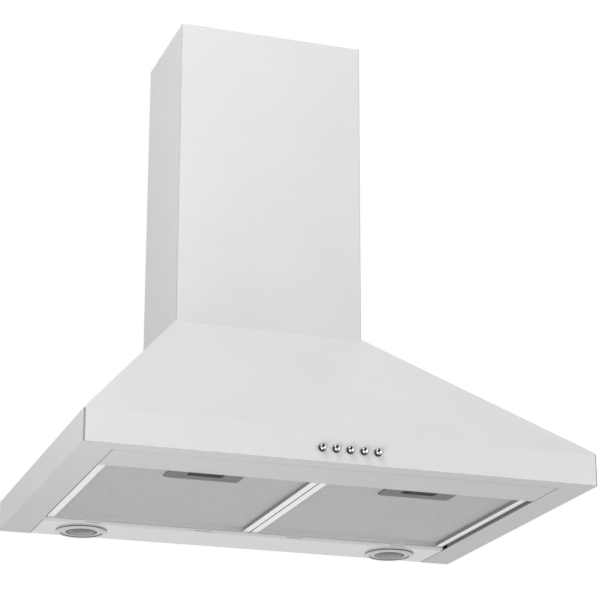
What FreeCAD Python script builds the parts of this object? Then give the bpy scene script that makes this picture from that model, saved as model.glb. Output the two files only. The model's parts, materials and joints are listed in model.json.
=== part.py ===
import FreeCAD, Part
import math
import os

# Wall-mounted chimney hood with a pyramid canopy, in millimetres.
# Everything is drawn with z = 0 on the underside of the canopy, y = 0 on the wall and the front facing -Y,
# and is moved at the end so that the origin is midway between the two hanging keyholes.

V = FreeCAD.Vector
X_AXIS = V(1, 0, 0)
Y_AXIS = V(0, 1, 0)
Z_AXIS = V(0, 0, 1)

# Overall sizes
hood_width = 600.0
hood_depth = 450.0
fascia_height = 37.0
pyramid_rise = 208.0
chimney_width = 244.0
chimney_depth = 158.0
chimney_length = 405.0
hang_height = 195.0

# Sheet metal
sheet = 0.8
fold_radius = 3.0
top_rim = 14.0
rear_flange = 18.0
front_lip = 26.0
side_flange = 38.0
flange_return = 6.0
joggle = 10.0
seam = 1.0

# Wall fixings
hang_spacing = 200.0
hang_slot_radius = 3.0
hang_entry_radius = 6.0
hang_drop = 14.0
securing_spacing = 460.0
securing_height = 60.0
securing_radius = 3.0
panel_clearance = 0.3
rivet_radius = 2.0
rivet_head_radius = 4.0
rivet_head = 1.2

# Front panel and light bar
front_panel_depth = 67.0
panel_flange = 14.0
light_bar_depth = 74.0
ramp_length = 7.0
ramp_rise = 2.0
bar_flange = 18.0
stud_radius = 2.0
stud_height = 8.0
stud_clearance = 0.3
nut_flats = 7.0
nut_height = 3.2
panel_stud_from_end = 62.0
bar_stud_front = 58.0
bar_stud_rear = 18.0

# Grease filters
filter_side_gap = 3.5
filter_mid_gap = 1.6
filter_front_gap = 1.2
filter_rest_gap = 0.2
filter_thickness = 9.0
filter_skin = 0.8
filter_rail = 9.0
filter_top_rail = 8.0
mesh_recess = 4.6
mesh_side_gap = 0.5
tongue_offset = 70.0
tongue_width = 18.0
tongue_drop = 1.6
tongue_back = 3.2
tongue_gap = 0.8

# Filter latches
latch_width = 88.0
latch_length = 41.0
latch_wall = 1.2
latch_proud = 2.0
latch_gap = 0.3
latch_corner = 4.0
finger_width = 42.0
finger_length = 19.5
finger_front = 6.0
finger_corner = 3.0
slider_width = 56.0
slider_height = 2.4
slider_bar = 3.0
slider_arm = 5.0
nose_width = 28.0
nose_reach = 4.5
latch_travel = 7.0
lug_thickness = 2.5
lug_clearance = 1.0
spring_span = 50.0
spring_leaf = 0.5

# Lamps
lamp_from_side = 96.0
lamp_y = 35.0
lamp_flange_radius = 31.5
lamp_proud = 3.2
lamp_barrel_radius = 28.2
lamp_barrel_wall = 1.4
lamp_barrel_height = 14.0
lamp_seat_radius = 29.4
lamp_shadow_gap = 1.0
lamp_mouth_radius = 26.0
lamp_eye_radius = 19.5
lamp_ledge = -0.8
lamp_plate = 1.2
lamp_fit = 0.3
lens_radius = 22.0
lens_rim = 1.8
lens_crown = 3.2
lens_wall = 1.3
lamp_cup_wall = 1.2
lamp_cup_height = 24.0
bulb_radius = 5.0
bulb_length = 12.0

# Push buttons
button_count = 5
button_pitch = 16.3
button_height = 15.5
button_radius = 4.1
button_gap = 0.35
button_proud = 6.0
button_travel = 4.0
button_cap = 7.2
button_crown = 2.4
stem_radius = 2.0
stem_fit = 0.05
cap_gap = 0.8
switch_depth = 24.0
switch_height = 24.0
switch_margin = 8.0
bore_depth = 19.0
bore_floor_gap = 1.0
bracket_sheet = 1.2
bracket_foot = 20.0
bracket_waist = 6.0

# Blower
deck_sheet = 1.2
deck_margin = 4.0
deck_flange = 12.0
deck_flange_inset = 20.0
deck_hole_margin = 3.0
impeller_radius = 75.0
impeller_inner = 62.0
impeller_width = 140.0
blade_count = 32
blade_thickness = 1.0
end_ring = 4.0
hub_disc = 2.0
hub_radius = 14.0
hub_length = 18.0
tongue_clearance = 7.0
scroll_growth = 34.0
housing_wall = 2.5
housing_side_gap = 7.5
neck_depth = 110.0
neck_flange = 8.0
floor_gap = 6.0
inlet_radius = 64.0
bellmouth_wall = 2.0
bellmouth_depth = 9.0
boss_radius = 5.0
boss_length = 10.0
boss_turns = (0.1, 0.32, 0.62)
neck_boss_drop = 25.0
motor_radius = 42.0
motor_bell_radius = 36.0
motor_length = 66.0
motor_bell = 12.0
motor_vents = 8
motor_vent_radius = 4.0
motor_vent_circle = 24.5
shaft_radius = 4.0
shaft_fit = 0.05
motor_disc_radius = 34.0
arm_width = 12.0
arm_count = 3
bracket_ring = 4.5
grille_rim = 5.0
grille_depth = 7.0
grille_bar = 2.0
grille_rings = 4
grille_spokes = 6

# Outlet collar and non-return flaps
collar_radius = 60.0
collar_wall = 1.5
collar_height = 40.0
collar_flange = 4.5
collar_ear_reach = 68.0
collar_ear_radius = 6.0
flap_pin_radius = 1.5
flap_pin_skin = 0.5
flap_fit = 0.05
flap_barrel = 1.1
flap_thickness = 1.2
flap_edge_gap = 2.0
flap_hinge_gap = 3.2
flap_pin_height = 20.0
flap_knuckle = 16.0
flap_knuckle_gap = 0.5
flap_stop = 4.0

# Upper chimney
slide_gap = 1.0
chimney_return = 20.0
upper_return = 12.0
upper_top_drop = 2.0
chimney_tab = 13.0
chimney_tab_length = 18.0
vent_count = 6
vent_height = 3.5
vent_length = 60.0
vent_pitch = 9.0
vent_top_gap = 50.0
wall_bracket_height = 30.0
wall_bracket_drop = 10.0
wall_bracket_spacing = 160.0
wall_bracket_hole = 2.75

# Screws and small electrical pieces
screw_radius = 1.9
screw_fit = 0.1
screw_head_radius = 3.2
screw_head = 2.0
capacitor_radius = 15.0
capacitor_length = 55.0
capacitor_x = 170.0
capacitor_z = 75.0
capacitor_blade = 5.0
clamp_width = 16.0
clamp_sheet = 1.0
clamp_foot = 14.0
terminal_width = 62.0
terminal_depth = 34.0
terminal_height = 46.0
terminal_x = 175.0
terminal_z = 62.0
terminal_corner = 3.0
terminal_lid = 8.0
gland_x = 94.0
gland_y = 60.0
gland_bore = 3.6
gland_body = 6.0
gland_nut = 9.0

# Places that follow from the sizes above
half_width = hood_width / 2
canopy_top = fascia_height + pyramid_rise
chimney_half = chimney_width / 2
chimney_top = canopy_top + chimney_length
opening_half = half_width - side_flange
lamp_x = half_width - lamp_from_side
panel_stud_x = opening_half - panel_stud_from_end
lip_edge = front_lip - hood_depth
panel_rear = lip_edge + front_panel_depth
ramp_edge = -(light_bar_depth + ramp_length)
back_plane = -2 * sheet

filter_bottom = ramp_rise + sheet + filter_rest_gap
filter_top = filter_bottom + filter_thickness
filter_front = panel_rear + filter_front_gap
filter_rear = -light_bar_depth
filter_width = (2 * opening_half - 2 * filter_side_gap - filter_mid_gap) / 2
filter_x = filter_mid_gap / 2 + filter_width / 2
mesh_bottom = filter_bottom + mesh_recess
mesh_top = filter_top - filter_skin

tray_front = filter_front + filter_rail + latch_gap
tray_rear = tray_front + latch_length
tray_bottom = mesh_bottom - latch_proud
slider_bottom = mesh_bottom + latch_gap
slider_top = slider_bottom + slider_height
finger_start = tray_front + finger_front
finger_end = finger_start + finger_length
lug_front = finger_end - lug_clearance - latch_travel - lug_thickness
nose_tip = panel_rear - nose_reach

button_start = -(hood_depth + button_proud)
cap_rear = button_start + button_cap
switch_front = cap_rear + button_travel + cap_gap
stem_end = switch_front + bore_depth - button_travel - bore_floor_gap
switch_rear = switch_front + switch_depth
switch_half = (button_count - 1) * button_pitch / 2 + switch_margin

deck_top = canopy_top - sheet
deck_bottom = deck_top - deck_sheet
duct_y = -chimney_depth / 2
scroll_start = impeller_radius + tongue_clearance
scroll_end = scroll_start + scroll_growth
neck_rear = duct_y + neck_depth / 2
neck_front = duct_y - neck_depth / 2
fan_y = neck_rear - scroll_end
scroll_low = scroll_start + scroll_growth * 2 / 3
fan_z = filter_top + floor_gap + housing_wall + scroll_low
housing_inner = impeller_width / 2 + housing_side_gap
housing_outer = housing_inner + housing_wall
motor_end = -housing_outer
grille_inner = inlet_radius + bellmouth_wall + bracket_ring + 1.5

collar_base = deck_top
flap_z = collar_base + flap_pin_height
flap_radius = collar_radius - collar_wall - flap_edge_gap
flap_ring = flap_pin_radius + flap_fit + flap_barrel

upper_half = chimney_half - sheet - slide_gap
upper_front = -(chimney_depth - sheet - slide_gap)
upper_back = -(sheet + 0.3)
upper_bottom = canopy_top + sheet + 0.2
upper_top = chimney_top - upper_top_drop
bracket_top = upper_top - wall_bracket_drop
bracket_middle = bracket_top - wall_bracket_height / 2
tab_x = chimney_half - sheet - slide_gap - sheet - 5.5
tab_places = (duct_y - chimney_depth / 4, duct_y + chimney_depth / 4)


def block(x0, x1, y0, y1, z0, z1):
    return Part.makeBox(x1 - x0, y1 - y0, z1 - z0, V(x0, y0, z0))


def rod(radius, start, end):
    direction = end - start
    return Part.makeCylinder(radius, direction.Length, start, direction)


def tube(outer, inner, start, end):
    direction = (end - start).normalize()
    return rod(outer, start, end).cut(rod(inner, start - direction, end + direction))


def joined(shapes):
    first, rest = shapes[0], shapes[1:]
    return first.multiFuse(rest).removeSplitter() if rest else first


def plate(points, thickness_vector):
    wire = Part.makePolygon(points + [points[0]])
    return Part.Face(wire).extrude(thickness_vector)


def turned(profile, centre, axis=Z_AXIS):
    """Revolve a face drawn in the XZ plane about the vertical line through its own x = 0, then place it."""
    solid = Part.Face(profile).revolve(V(0, 0, 0), Z_AXIS, 360)
    if axis != Z_AXIS:
        solid.rotate(V(0, 0, 0), Z_AXIS.cross(axis).normalize(), math.degrees(Z_AXIS.getAngle(axis)))
    solid.translate(centre)
    return solid


def outline(points):
    """Closed wire in the XZ plane through (radius, height) pairs."""
    corners = [V(r, 0, z) for r, z in points]
    return Part.makePolygon(corners + [corners[0]])


def along(shape, axis):
    """Straight edges of a shape that run along the given axis."""
    return [e for e in shape.Edges if abs(e.tangentAt(e.FirstParameter).dot(axis)) > 0.9]


def screw(seat, direction, length):
    """Pan-head screw: seat is under its head, direction is the way it is driven."""
    way = V(direction).normalize()
    shank = rod(screw_radius, seat - way * 0.2, seat + way * length)
    head = turned(pan_head(), seat, way * -1)
    return head.fuse(shank).removeSplitter()


def pan_head():
    rim = screw_head_radius
    return outline([(0, 0), (rim, 0), (rim, screw_head * 0.5), (rim * 0.6, screw_head), (0, screw_head)])


def hex_nut(x, y, z):
    corner = nut_flats / math.sqrt(3)
    points = [V(x + corner * math.cos(a), y + corner * math.sin(a), z) for a in hex_angles()]
    body = plate(points, V(0, 0, nut_height))
    return body.cut(rod(stud_radius + 0.05, V(x, y, z - 1), V(x, y, z + nut_height + 1)))


def hex_angles():
    return [math.pi / 3 * i for i in range(6)]


# Canopy: a folded pyramid over a straight fascia, with flanges turned in all round the underside


def pyramid(half, front, rear, base, crease, top_half, top_front, top):
    skirt = block(-half, half, front, rear, base, crease)
    low = [V(-half, front, crease), V(half, front, crease), V(half, rear, crease), V(-half, rear, crease)]
    high = [V(-top_half, top_front, top), V(top_half, top_front, top)]
    high += [V(top_half, rear, top), V(-top_half, rear, top)]
    sides = [[low[i], low[(i + 1) % 4], high[(i + 1) % 4], high[i]] for i in range(4)]
    faces = [Part.Face(Part.makePolygon(ring + [ring[0]])) for ring in [low[::-1], high] + sides]
    return skirt.fuse(Part.Solid(Part.Shell(faces))).removeSplitter()


def slope_thickness(run):
    """Horizontal thickness of a sheet that leans back over the given run."""
    return sheet * math.hypot(run, pyramid_rise) / pyramid_rise


def canopy_inside():
    side = slope_thickness(half_width - chimney_half)
    front = slope_thickness(hood_depth - chimney_depth)
    run_per_rise = (hood_depth - chimney_depth) / pyramid_rise
    crease = fascia_height - (front - sheet) / run_per_rise
    return pyramid(
        half_width - sheet, sheet - hood_depth, -sheet, sheet, crease,
        chimney_half - side, front - chimney_depth, canopy_top - sheet,
    )


def soft_folds(solid):
    """Round the fold between fascia and slopes and the two upright front corners."""
    edges = []
    for edge in solid.Edges:
        ends = [v.Point for v in edge.Vertexes]
        at_crease = all(abs(p.z - fascia_height) < 0.01 for p in ends)
        upright = all(abs(p.y + hood_depth) < 0.01 for p in ends) and abs(ends[0].x - ends[1].x) < 0.01
        on_wall = all(abs(p.y) < 0.01 for p in ends)
        if (at_crease or upright) and not on_wall:
            edges.append(edge)
    return solid.makeFillet(fold_radius, edges)


def rear_opening():
    inner = half_width - rear_flange
    top = chimney_half - rear_flange
    y = -2 * sheet
    points = [V(-inner, y, sheet), V(inner, y, sheet), V(inner, y, fascia_height)]
    points += [V(top, y, canopy_top + 1), V(-top, y, canopy_top + 1), V(-inner, y, fascia_height)]
    return plate(points, V(0, 4 * sheet, 0))


def flange_returns():
    strips = []
    for side in (-1, 1):
        edge = side * opening_half
        x0, x1 = sorted((edge, edge + side * sheet))
        strips.append(block(x0, x1, panel_rear + joggle, ramp_edge - joggle, 0, sheet + flange_return))
    return strips


def weld_studs(places):
    return [rod(stud_radius, V(x, y, 0.5 * sheet), V(x, y, sheet + stud_height)) for x, y in places]


def panel_studs():
    front = lip_edge - joggle / 2
    end = opening_half + joggle / 2
    return [(s * panel_stud_x, front) for s in (-1, 1)] + [(s * end, panel_rear - joggle) for s in (-1, 1)]


def bar_studs():
    x = opening_half + joggle / 2
    return [(s * x, -y) for s in (-1, 1) for y in (bar_stud_front, bar_stud_rear)]


def button_places():
    first = -(button_count - 1) * button_pitch / 2
    return [first + i * button_pitch for i in range(button_count)]


def rivet_places():
    """Two rivets up each end of the fascia and one high on each slope of the rear flange."""
    lower = half_width - rear_flange / 2
    drop = 0.25
    upper = chimney_half + (half_width - chimney_half) * drop - rear_flange * 0.65
    heights = (fascia_height * 0.3, fascia_height * 0.85)
    places = [(s * lower, z) for s in (-1, 1) for z in heights]
    return places + [(s * upper, canopy_top - pyramid_rise * drop) for s in (-1, 1)]


def canopy_shell():
    outer = soft_folds(pyramid(
        half_width, -hood_depth, 0, 0, fascia_height, chimney_half, -chimney_depth, canopy_top))
    shell = outer.cut(canopy_inside())
    shell = shell.cut(block(-opening_half, opening_half, lip_edge, 1, -1, sheet + 1))
    rim = chimney_half - top_rim
    shell = shell.cut(block(-rim, rim, top_rim - chimney_depth, 1, canopy_top - 2 * sheet, canopy_top + 1))
    shell = shell.cut(rear_opening())
    shell = joined([shell] + flange_returns() + weld_studs(panel_studs() + bar_studs()))
    for x in button_places():
        shell = shell.cut(rod(button_radius + button_gap, V(x, -hood_depth - 1, button_height),
                              V(x, 2 * sheet - hood_depth, button_height)))
    for x, z in rivet_places():
        shell = shell.cut(rod(rivet_radius, V(x, -2 * sheet, z), V(x, 1, z)))
    for x, y in chimney_screw_places():
        low, high = V(x, y, canopy_top - 2 * sheet), V(x, y, canopy_top + 1)
        shell = shell.cut(rod(screw_radius + screw_fit, low, high))
    return shell


# Back panel that closes the canopy at the wall and hangs it


def back_panel():
    gap = sheet + panel_clearance
    low = half_width - gap
    high = chimney_half - slope_thickness(half_width - chimney_half) - panel_clearance
    top = deck_top
    y = back_plane
    points = [V(-low, y, sheet), V(low, y, sheet), V(low, y, fascia_height - gap), V(high, y, top)]
    points += [V(-high, y, top), V(-low, y, fascia_height - gap)]
    panel = plate(points, V(0, sheet, 0))
    for side in (-1, 1):
        panel = panel.cut(keyhole(side * hang_spacing / 2))
        x = side * securing_spacing / 2
        panel = panel.cut(rod(securing_radius, V(x, y - 1, securing_height), V(x, 1, securing_height)))
    for x, z in rivet_places():
        panel = panel.cut(rod(rivet_radius, V(x, y - 1, z), V(x, 1, z)))
    return panel


def keyhole(x):
    y0, y1 = back_plane - 1, 0.5
    slot = rod(hang_slot_radius, V(x, y0, hang_height), V(x, y1, hang_height))
    entry = rod(hang_entry_radius, V(x, y0, hang_height - hang_drop), V(x, y1, hang_height - hang_drop))
    throat = block(x - hang_slot_radius, x + hang_slot_radius, y0, y1, hang_height - hang_drop, hang_height)
    return joined([slot, entry, throat])


def back_panel_rivets():
    rivets = []
    for x, z in rivet_places():
        shank = rod(rivet_radius, V(x, back_plane - 0.2, z), V(x, 0, z))
        head = turned(rivet_profile(), V(x, back_plane, z), V(0, -1, 0))
        rivets.append(head.fuse(shank).removeSplitter())
    return Part.makeCompound(rivets)


def rivet_profile():
    rim = rivet_head_radius
    return outline([(0, 0), (rim, 0), (rim * 0.6, rivet_head), (0, rivet_head)])


# Front panel behind the fascia: it carries the switch and its rear edge catches the filter latches


def front_panel():
    half = opening_half - seam
    front = lip_edge + seam
    rim_half = opening_half + joggle
    base = block(-half, half, front, panel_rear, 0, sheet)
    rim = block(-rim_half, rim_half, lip_edge - joggle, panel_rear, sheet, 2 * sheet)
    rim = rim.cut(block(sheet - half, half - sheet, front + sheet, panel_rear + 1, 0, 3 * sheet))
    flange = block(-half, half, panel_rear - sheet, panel_rear, 0, panel_flange)
    panel = joined([base, rim, flange])
    for x, y in panel_studs():
        panel = panel.cut(rod(stud_radius + stud_clearance, V(x, y, 0), V(x, y, 3 * sheet)))
    for side in (-1, 1):
        panel = panel.cut(latch_window(side * filter_x))
    return panel


def latch_window(x):
    half = nose_width / 2 + 2
    low, high = slider_bottom - latch_gap, slider_top + 1
    return block(x - half, x + half, panel_rear - 2 * sheet, panel_rear + 1, low, high)


def stud_nuts(places):
    return Part.makeCompound([hex_nut(x, y, 2 * sheet) for x, y in places])


# Light bar across the back, with a low ramp at its front edge where the filters hook in


def light_bar():
    half = opening_half - seam
    section = [V(-half, back_plane, 0), V(-half, -light_bar_depth, 0), V(-half, ramp_edge, ramp_rise)]
    section += [V(-half, ramp_edge, ramp_rise + sheet), V(-half, -light_bar_depth, sheet)]
    section += [V(-half, back_plane - sheet, sheet), V(-half, back_plane - sheet, bar_flange)]
    section += [V(-half, back_plane, bar_flange)]
    bar = plate(section, V(2 * half, 0, 0))
    for side in (-1, 1):
        x0, x1 = sorted((side * (half - sheet), side * (opening_half + joggle)))
        bar = bar.fuse(block(x0, x1, -light_bar_depth, back_plane, sheet, 2 * sheet))
        lamp = side * lamp_x
        bar = bar.cut(rod(lamp_barrel_radius + lamp_fit, V(lamp, -lamp_y, -1), V(lamp, -lamp_y, 3)))
        for place in tongue_places(side * filter_x):
            bar = bar.cut(tongue_slot(place))
    for x, y in bar_studs():
        bar = bar.cut(rod(stud_radius + stud_clearance, V(x, y, 0), V(x, y, 3 * sheet)))
    return bar.removeSplitter()


def tongue_places(x):
    return [x - tongue_offset, x + tongue_offset]


def tongue_slot(x):
    half = tongue_width / 2 + tongue_gap
    y = ramp_edge + tongue_back
    reach = filter_skin / 2 + tongue_gap
    return block(x - half, x + half, y - reach, y + reach, -1, ramp_rise + 2 * sheet)


# Lamps


def lamp_ring(x):
    """White ring: a shadow gap parts its rim from the light bar, a step parts it from the plate round the lens."""
    outer, barrel, seat = lamp_flange_radius, lamp_barrel_radius, lamp_seat_radius
    mouth, eye = lamp_mouth_radius, lamp_eye_radius
    inside, plate = barrel - lamp_barrel_wall, lamp_ledge - lamp_plate
    points = [(barrel, 0), (seat, 0), (seat, -lamp_shadow_gap), (outer, -lamp_shadow_gap)]
    points += [(outer, -lamp_proud * 0.5), (outer - 0.6, -lamp_proud * 0.75), (outer - 2, -lamp_proud * 0.95)]
    points += [(mouth + 1.2, -lamp_proud), (mouth, -lamp_proud * 0.95), (mouth, plate), (eye, plate)]
    points += [(eye, lamp_ledge), (inside, lamp_ledge), (inside, lamp_barrel_height)]
    points += [(barrel, lamp_barrel_height)]
    return turned(outline(points), V(x, -lamp_y, 0))


def lamp_lens(x):
    """Domed glass that looks through the eye of the ring and lies on its ledge by a flat rim."""
    eye, top = lamp_eye_radius - 0.5, lamp_ledge + lens_rim
    turns = [math.radians(15 * step) for step in range(7)]
    outer = [(eye * math.sin(t), lamp_ledge - lens_crown * math.cos(t)) for t in turns]
    inner = [((eye - lens_wall) * math.sin(t), top - lens_crown * math.cos(t)) for t in turns]
    points = outer + [(lens_radius, lamp_ledge), (lens_radius, top)] + inner[::-1]
    return turned(outline(points), V(x, -lamp_y, 0))


def lamp_housing(x):
    inner = lamp_barrel_radius + lamp_fit
    outer = inner + lamp_cup_wall
    top = sheet + lamp_cup_height
    holder = bulb_radius + 3
    roof = top - lamp_cup_wall
    points = [(inner, sheet), (outer, sheet), (outer, top - 4), (outer - 4, top), (0, top), (0, top - 5)]
    points += [(holder, top - 5), (holder, roof), (inner - 4, roof), (inner, top - 5)]
    return turned(outline(points), V(x, -lamp_y, 0))


def lamp_bulb(x):
    top = sheet + lamp_cup_height - 5
    base = bulb_radius * 0.8
    low = top - bulb_length
    points = [(0, top), (base, top), (base, top - 3), (bulb_radius, top - 4), (bulb_radius, low + 2.5)]
    points += [(bulb_radius * 0.6, low + 0.5), (0, low)]
    return turned(outline(points), V(x, -lamp_y, 0))


# Push buttons and their switch


def button(x):
    """Round cap with a slightly crowned face on a plain stem, turned about its own line of travel."""
    turns = [math.radians(15 * step) for step in range(7)]
    points = [(button_radius * math.sin(turn), button_crown * (math.cos(turn) - 1)) for turn in turns]
    points += [(button_radius, -button_cap), (stem_radius, -button_cap)]
    points += [(stem_radius, button_start - stem_end), (0, button_start - stem_end)]
    return turned(outline(points), V(x, button_start, button_height), V(0, -1, 0))


def switch_block():
    low = button_height - switch_height / 2
    body = block(-switch_half, switch_half, switch_front, switch_rear, low, low + switch_height)
    body = body.makeFillet(2.0, along(body, Y_AXIS))
    for x in button_places():
        body = body.cut(rod(stem_radius + stem_fit, V(x, switch_front - 1, button_height),
                            V(x, switch_front + bore_depth, button_height)))
    return body


def switch_bracket():
    high = button_height + switch_height / 2
    front, rear = switch_rear, switch_rear + bracket_sheet
    riser = block(-switch_half, switch_half, front, rear, sheet, high)
    foot = block(-switch_half, switch_half, front, front + bracket_foot, sheet, sheet + bracket_sheet)
    waist = block(-switch_half / 2, switch_half / 2, front - 1, rear + 1, bracket_waist, high - bracket_waist)
    return joined([riser, foot]).cut(waist)


# Grease filters


def filter_frame(x):
    x0, x1 = x - filter_width / 2, x + filter_width / 2
    y0, y1 = filter_front, filter_rear
    low, high, skin = filter_bottom, filter_top, filter_skin
    frame = block(x0, x1, y0, y1, low, high)
    frame = frame.cut(block(x0 + skin, x1 - skin, y0 + skin, y1 - skin, low + skin, high - skin))
    rail = filter_rail
    frame = frame.cut(block(x0 + rail, x1 - rail, y0 + rail, y1 - rail, low - 1, low + 2 * skin))
    top = filter_top_rail
    frame = frame.cut(block(x0 + top, x1 - top, y0 + top, y1 - top, high - 2 * skin, high + 1))
    wall = rail - skin
    hem = block(x0 + wall, x1 - wall, y0 + wall, y1 - wall, low, mesh_bottom)
    hem = hem.cut(block(x0 + rail, x1 - rail, y0 + rail, y1 - rail, low - 1, high))
    tongues = [filter_tongue(place) for place in tongue_places(x)]
    frame = joined([frame, hem] + tongues)
    window = nose_width / 2 + 1
    low, high = slider_bottom - latch_gap, slider_top + latch_gap
    return frame.cut(block(x - window, x + window, y0 - 1, y0 + 2 * skin, low, high))


def filter_tongue(x):
    """Hook on the underside of the rear rail that drops into its slot in the ramp."""
    y = ramp_edge + tongue_back
    half, thick = tongue_width / 2, filter_skin / 2
    low, high = filter_bottom - tongue_drop, filter_bottom + filter_skin / 2
    return block(x - half, x + half, y - thick, y + thick, low, high)


def filter_mesh(x):
    inset = filter_skin + mesh_side_gap
    half = filter_width / 2 - inset
    mesh = block(x - half, x + half, filter_front + inset, filter_rear - inset, mesh_bottom, mesh_top)
    low, high = mesh_bottom - 1, mesh_top + 1
    pocket = latch_width / 2 + latch_gap
    front, rear = tray_front - latch_gap, tray_rear + latch_gap
    mesh = mesh.cut(block(x - pocket, x + pocket, front, rear, low, high))
    channel = nose_width / 2 + 1
    return mesh.cut(block(x - channel, x + channel, filter_front, tray_front, low, high))


def latch_plate(x):
    half, wall, high = latch_width / 2, latch_wall, mesh_top + 1
    tray = block(x - half, x + half, tray_front, tray_rear, tray_bottom, mesh_top)
    rear_corners = [e for e in along(tray, Z_AXIS) if e.BoundBox.YMin > tray_rear - 1]
    tray = tray.makeFillet(latch_corner, rear_corners)
    inner = half - wall
    tray = tray.cut(block(x - inner, x + inner, tray_front + wall, tray_rear - wall, mesh_bottom, high))
    reach = finger_width / 2
    finger = block(x - reach, x + reach, finger_start, finger_end, tray_bottom - 1, mesh_bottom + 1)
    tray = tray.cut(finger.makeFillet(finger_corner, along(finger, Z_AXIS)))
    gate = nose_width / 2 + 1
    return tray.cut(block(x - gate, x + gate, tray_front - 1, tray_front + 2 * wall, mesh_bottom, high))


def latch_slider(x):
    z0, z1 = slider_bottom, slider_top
    front = tray_front + latch_wall + latch_gap
    half = slider_width / 2
    rear = lug_front + lug_thickness
    nose = block(x - nose_width / 2, x + nose_width / 2, nose_tip, front + slider_bar, z0, z1)
    tip_edges = [e for e in along(nose, X_AXIS) if e.BoundBox.YMax < nose_tip + 0.1]
    nose = nose.makeChamfer(slider_height * 0.3, tip_edges)
    pieces = [nose, block(x - half, x + half, front, front + slider_bar, z0, z1)]
    for side in (-1, 1):
        x0, x1 = sorted((x + side * half, x + side * (half - slider_arm)))
        pieces.append(block(x0, x1, front, rear, z0, z1))
    pieces.append(block(x - half, x + half, lug_front, rear, z0, z1))
    lug_half = finger_width / 2 - 1.5
    pieces.append(block(x - lug_half, x + lug_half, lug_front, rear, tray_bottom + 0.3, z1))
    return joined(pieces)


def latch_spring(x):
    """Bowed leaf: its crown pushes on the slider, its ends stand against the rear wall of the latch plate."""
    crown = lug_front + lug_thickness
    foot = tray_rear - latch_wall
    wide, narrow = spring_span / 2, spring_span / 2 - spring_leaf
    outer = Part.Arc(V(-wide, foot, 0), V(0, crown, 0), V(wide, foot, 0)).toShape()
    inner = Part.Arc(V(narrow, foot, 0), V(0, crown + spring_leaf, 0), V(-narrow, foot, 0)).toShape()
    right = Part.LineSegment(V(wide, foot, 0), V(narrow, foot, 0)).toShape()
    left = Part.LineSegment(V(-narrow, foot, 0), V(-wide, foot, 0)).toShape()
    leaf = Part.Face(Part.Wire([outer, right, inner, left])).extrude(V(0, 0, slider_height))
    leaf.translate(V(x, 0, slider_bottom))
    return leaf


# Blower: a double-inlet centrifugal fan in a two-part scroll


def spiral_radius(turn):
    """Inner radius of the scroll, growing from the cut-off at turn 0 to the outlet at turn 0.75."""
    return scroll_start + scroll_growth * turn / 0.75


def scroll_point(turn, grow):
    angle = math.pi / 2 + 2 * math.pi * turn
    radius = spiral_radius(turn) + grow
    return V(0, fan_y + radius * math.cos(angle), fan_z + radius * math.sin(angle))


def scroll_sector(grow):
    """Spiral from the cut-off round to the outlet, as six arcs, closed through the fan's axis."""
    step = 0.125
    edges = []
    for i in range(6):
        a, b, c = [scroll_point(i * step + part, grow) for part in (0, step / 2, step)]
        edges.append(Part.Arc(a, b, c).toShape())
    centre = V(0, fan_y, fan_z)
    edges.append(Part.LineSegment(scroll_point(0.75, grow), centre).toShape())
    edges.append(Part.LineSegment(centre, scroll_point(0, grow)).toShape())
    return Part.Face(Part.Wire(edges))


def scroll_solid(half, grow, top):
    sector = scroll_sector(grow).extrude(V(2 * half, 0, 0))
    sector.translate(V(-half, 0, 0))
    eye = rod(scroll_start + grow, V(-half, fan_y, fan_z), V(half, fan_y, fan_z))
    neck = block(-half, half, neck_front - grow, neck_rear + grow, fan_z, top)
    return joined([sector, eye, neck])


def boss_places():
    places = []
    for turn in boss_turns:
        angle = math.pi / 2 + 2 * math.pi * turn
        radius = spiral_radius(turn) + housing_wall + boss_radius * 0.7
        places.append((fan_y + radius * math.cos(angle), fan_z + radius * math.sin(angle)))
    places.append((neck_front - housing_wall - boss_radius * 0.7, deck_bottom - neck_boss_drop))
    return places


def housing():
    solid = scroll_solid(housing_outer, housing_wall, deck_bottom)
    out = neck_flange
    flange = block(-housing_outer - out, housing_outer + out, neck_front - housing_wall - out / 2,
                   neck_rear + housing_wall + out / 2, deck_bottom - housing_wall, deck_bottom)
    bosses = [rod(boss_radius, V(-boss_length, y, z), V(boss_length, y, z)) for y, z in boss_places()]
    solid = joined([solid, flange] + bosses)
    solid = solid.cut(scroll_solid(housing_inner, 0, deck_bottom + 1))
    for side in (-1, 1):
        outer_face = V(side * housing_outer, fan_y, fan_z)
        inner_end = V(side * (housing_outer - bellmouth_depth), fan_y, fan_z)
        solid = solid.cut(rod(inlet_radius, V(side * (housing_outer + 1), fan_y, fan_z), inner_end))
        solid = solid.fuse(tube(inlet_radius + bellmouth_wall, inlet_radius, outer_face, inner_end))
    for y, z in boss_places():
        ends = [V(s * (boss_length + 1), y, z) for s in (-1, 1)]
        solid = solid.cut(rod(screw_radius + screw_fit, *ends))
    for x, y in deck_screw_places():
        low, high = V(x, y, deck_bottom - housing_wall - 1), V(x, y, deck_bottom + 1)
        solid = solid.cut(rod(screw_radius, low, high))
    for y, z in motor_screw_places():
        solid = solid.cut(rod(screw_radius, V(-housing_outer - 1, y, z), V(-housing_inner + 1, y, z)))
    return solid


def housing_half(whole, side):
    far = 2 * housing_outer
    x0, x1 = sorted((0, side * far))
    return whole.common(block(x0, x1, fan_y - 2 * scroll_end, 0, 0, canopy_top))


def housing_screws():
    length = 2 * boss_length - 1
    return Part.makeCompound([screw(V(-boss_length, y, z), X_AXIS, length) for y, z in boss_places()])


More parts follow.
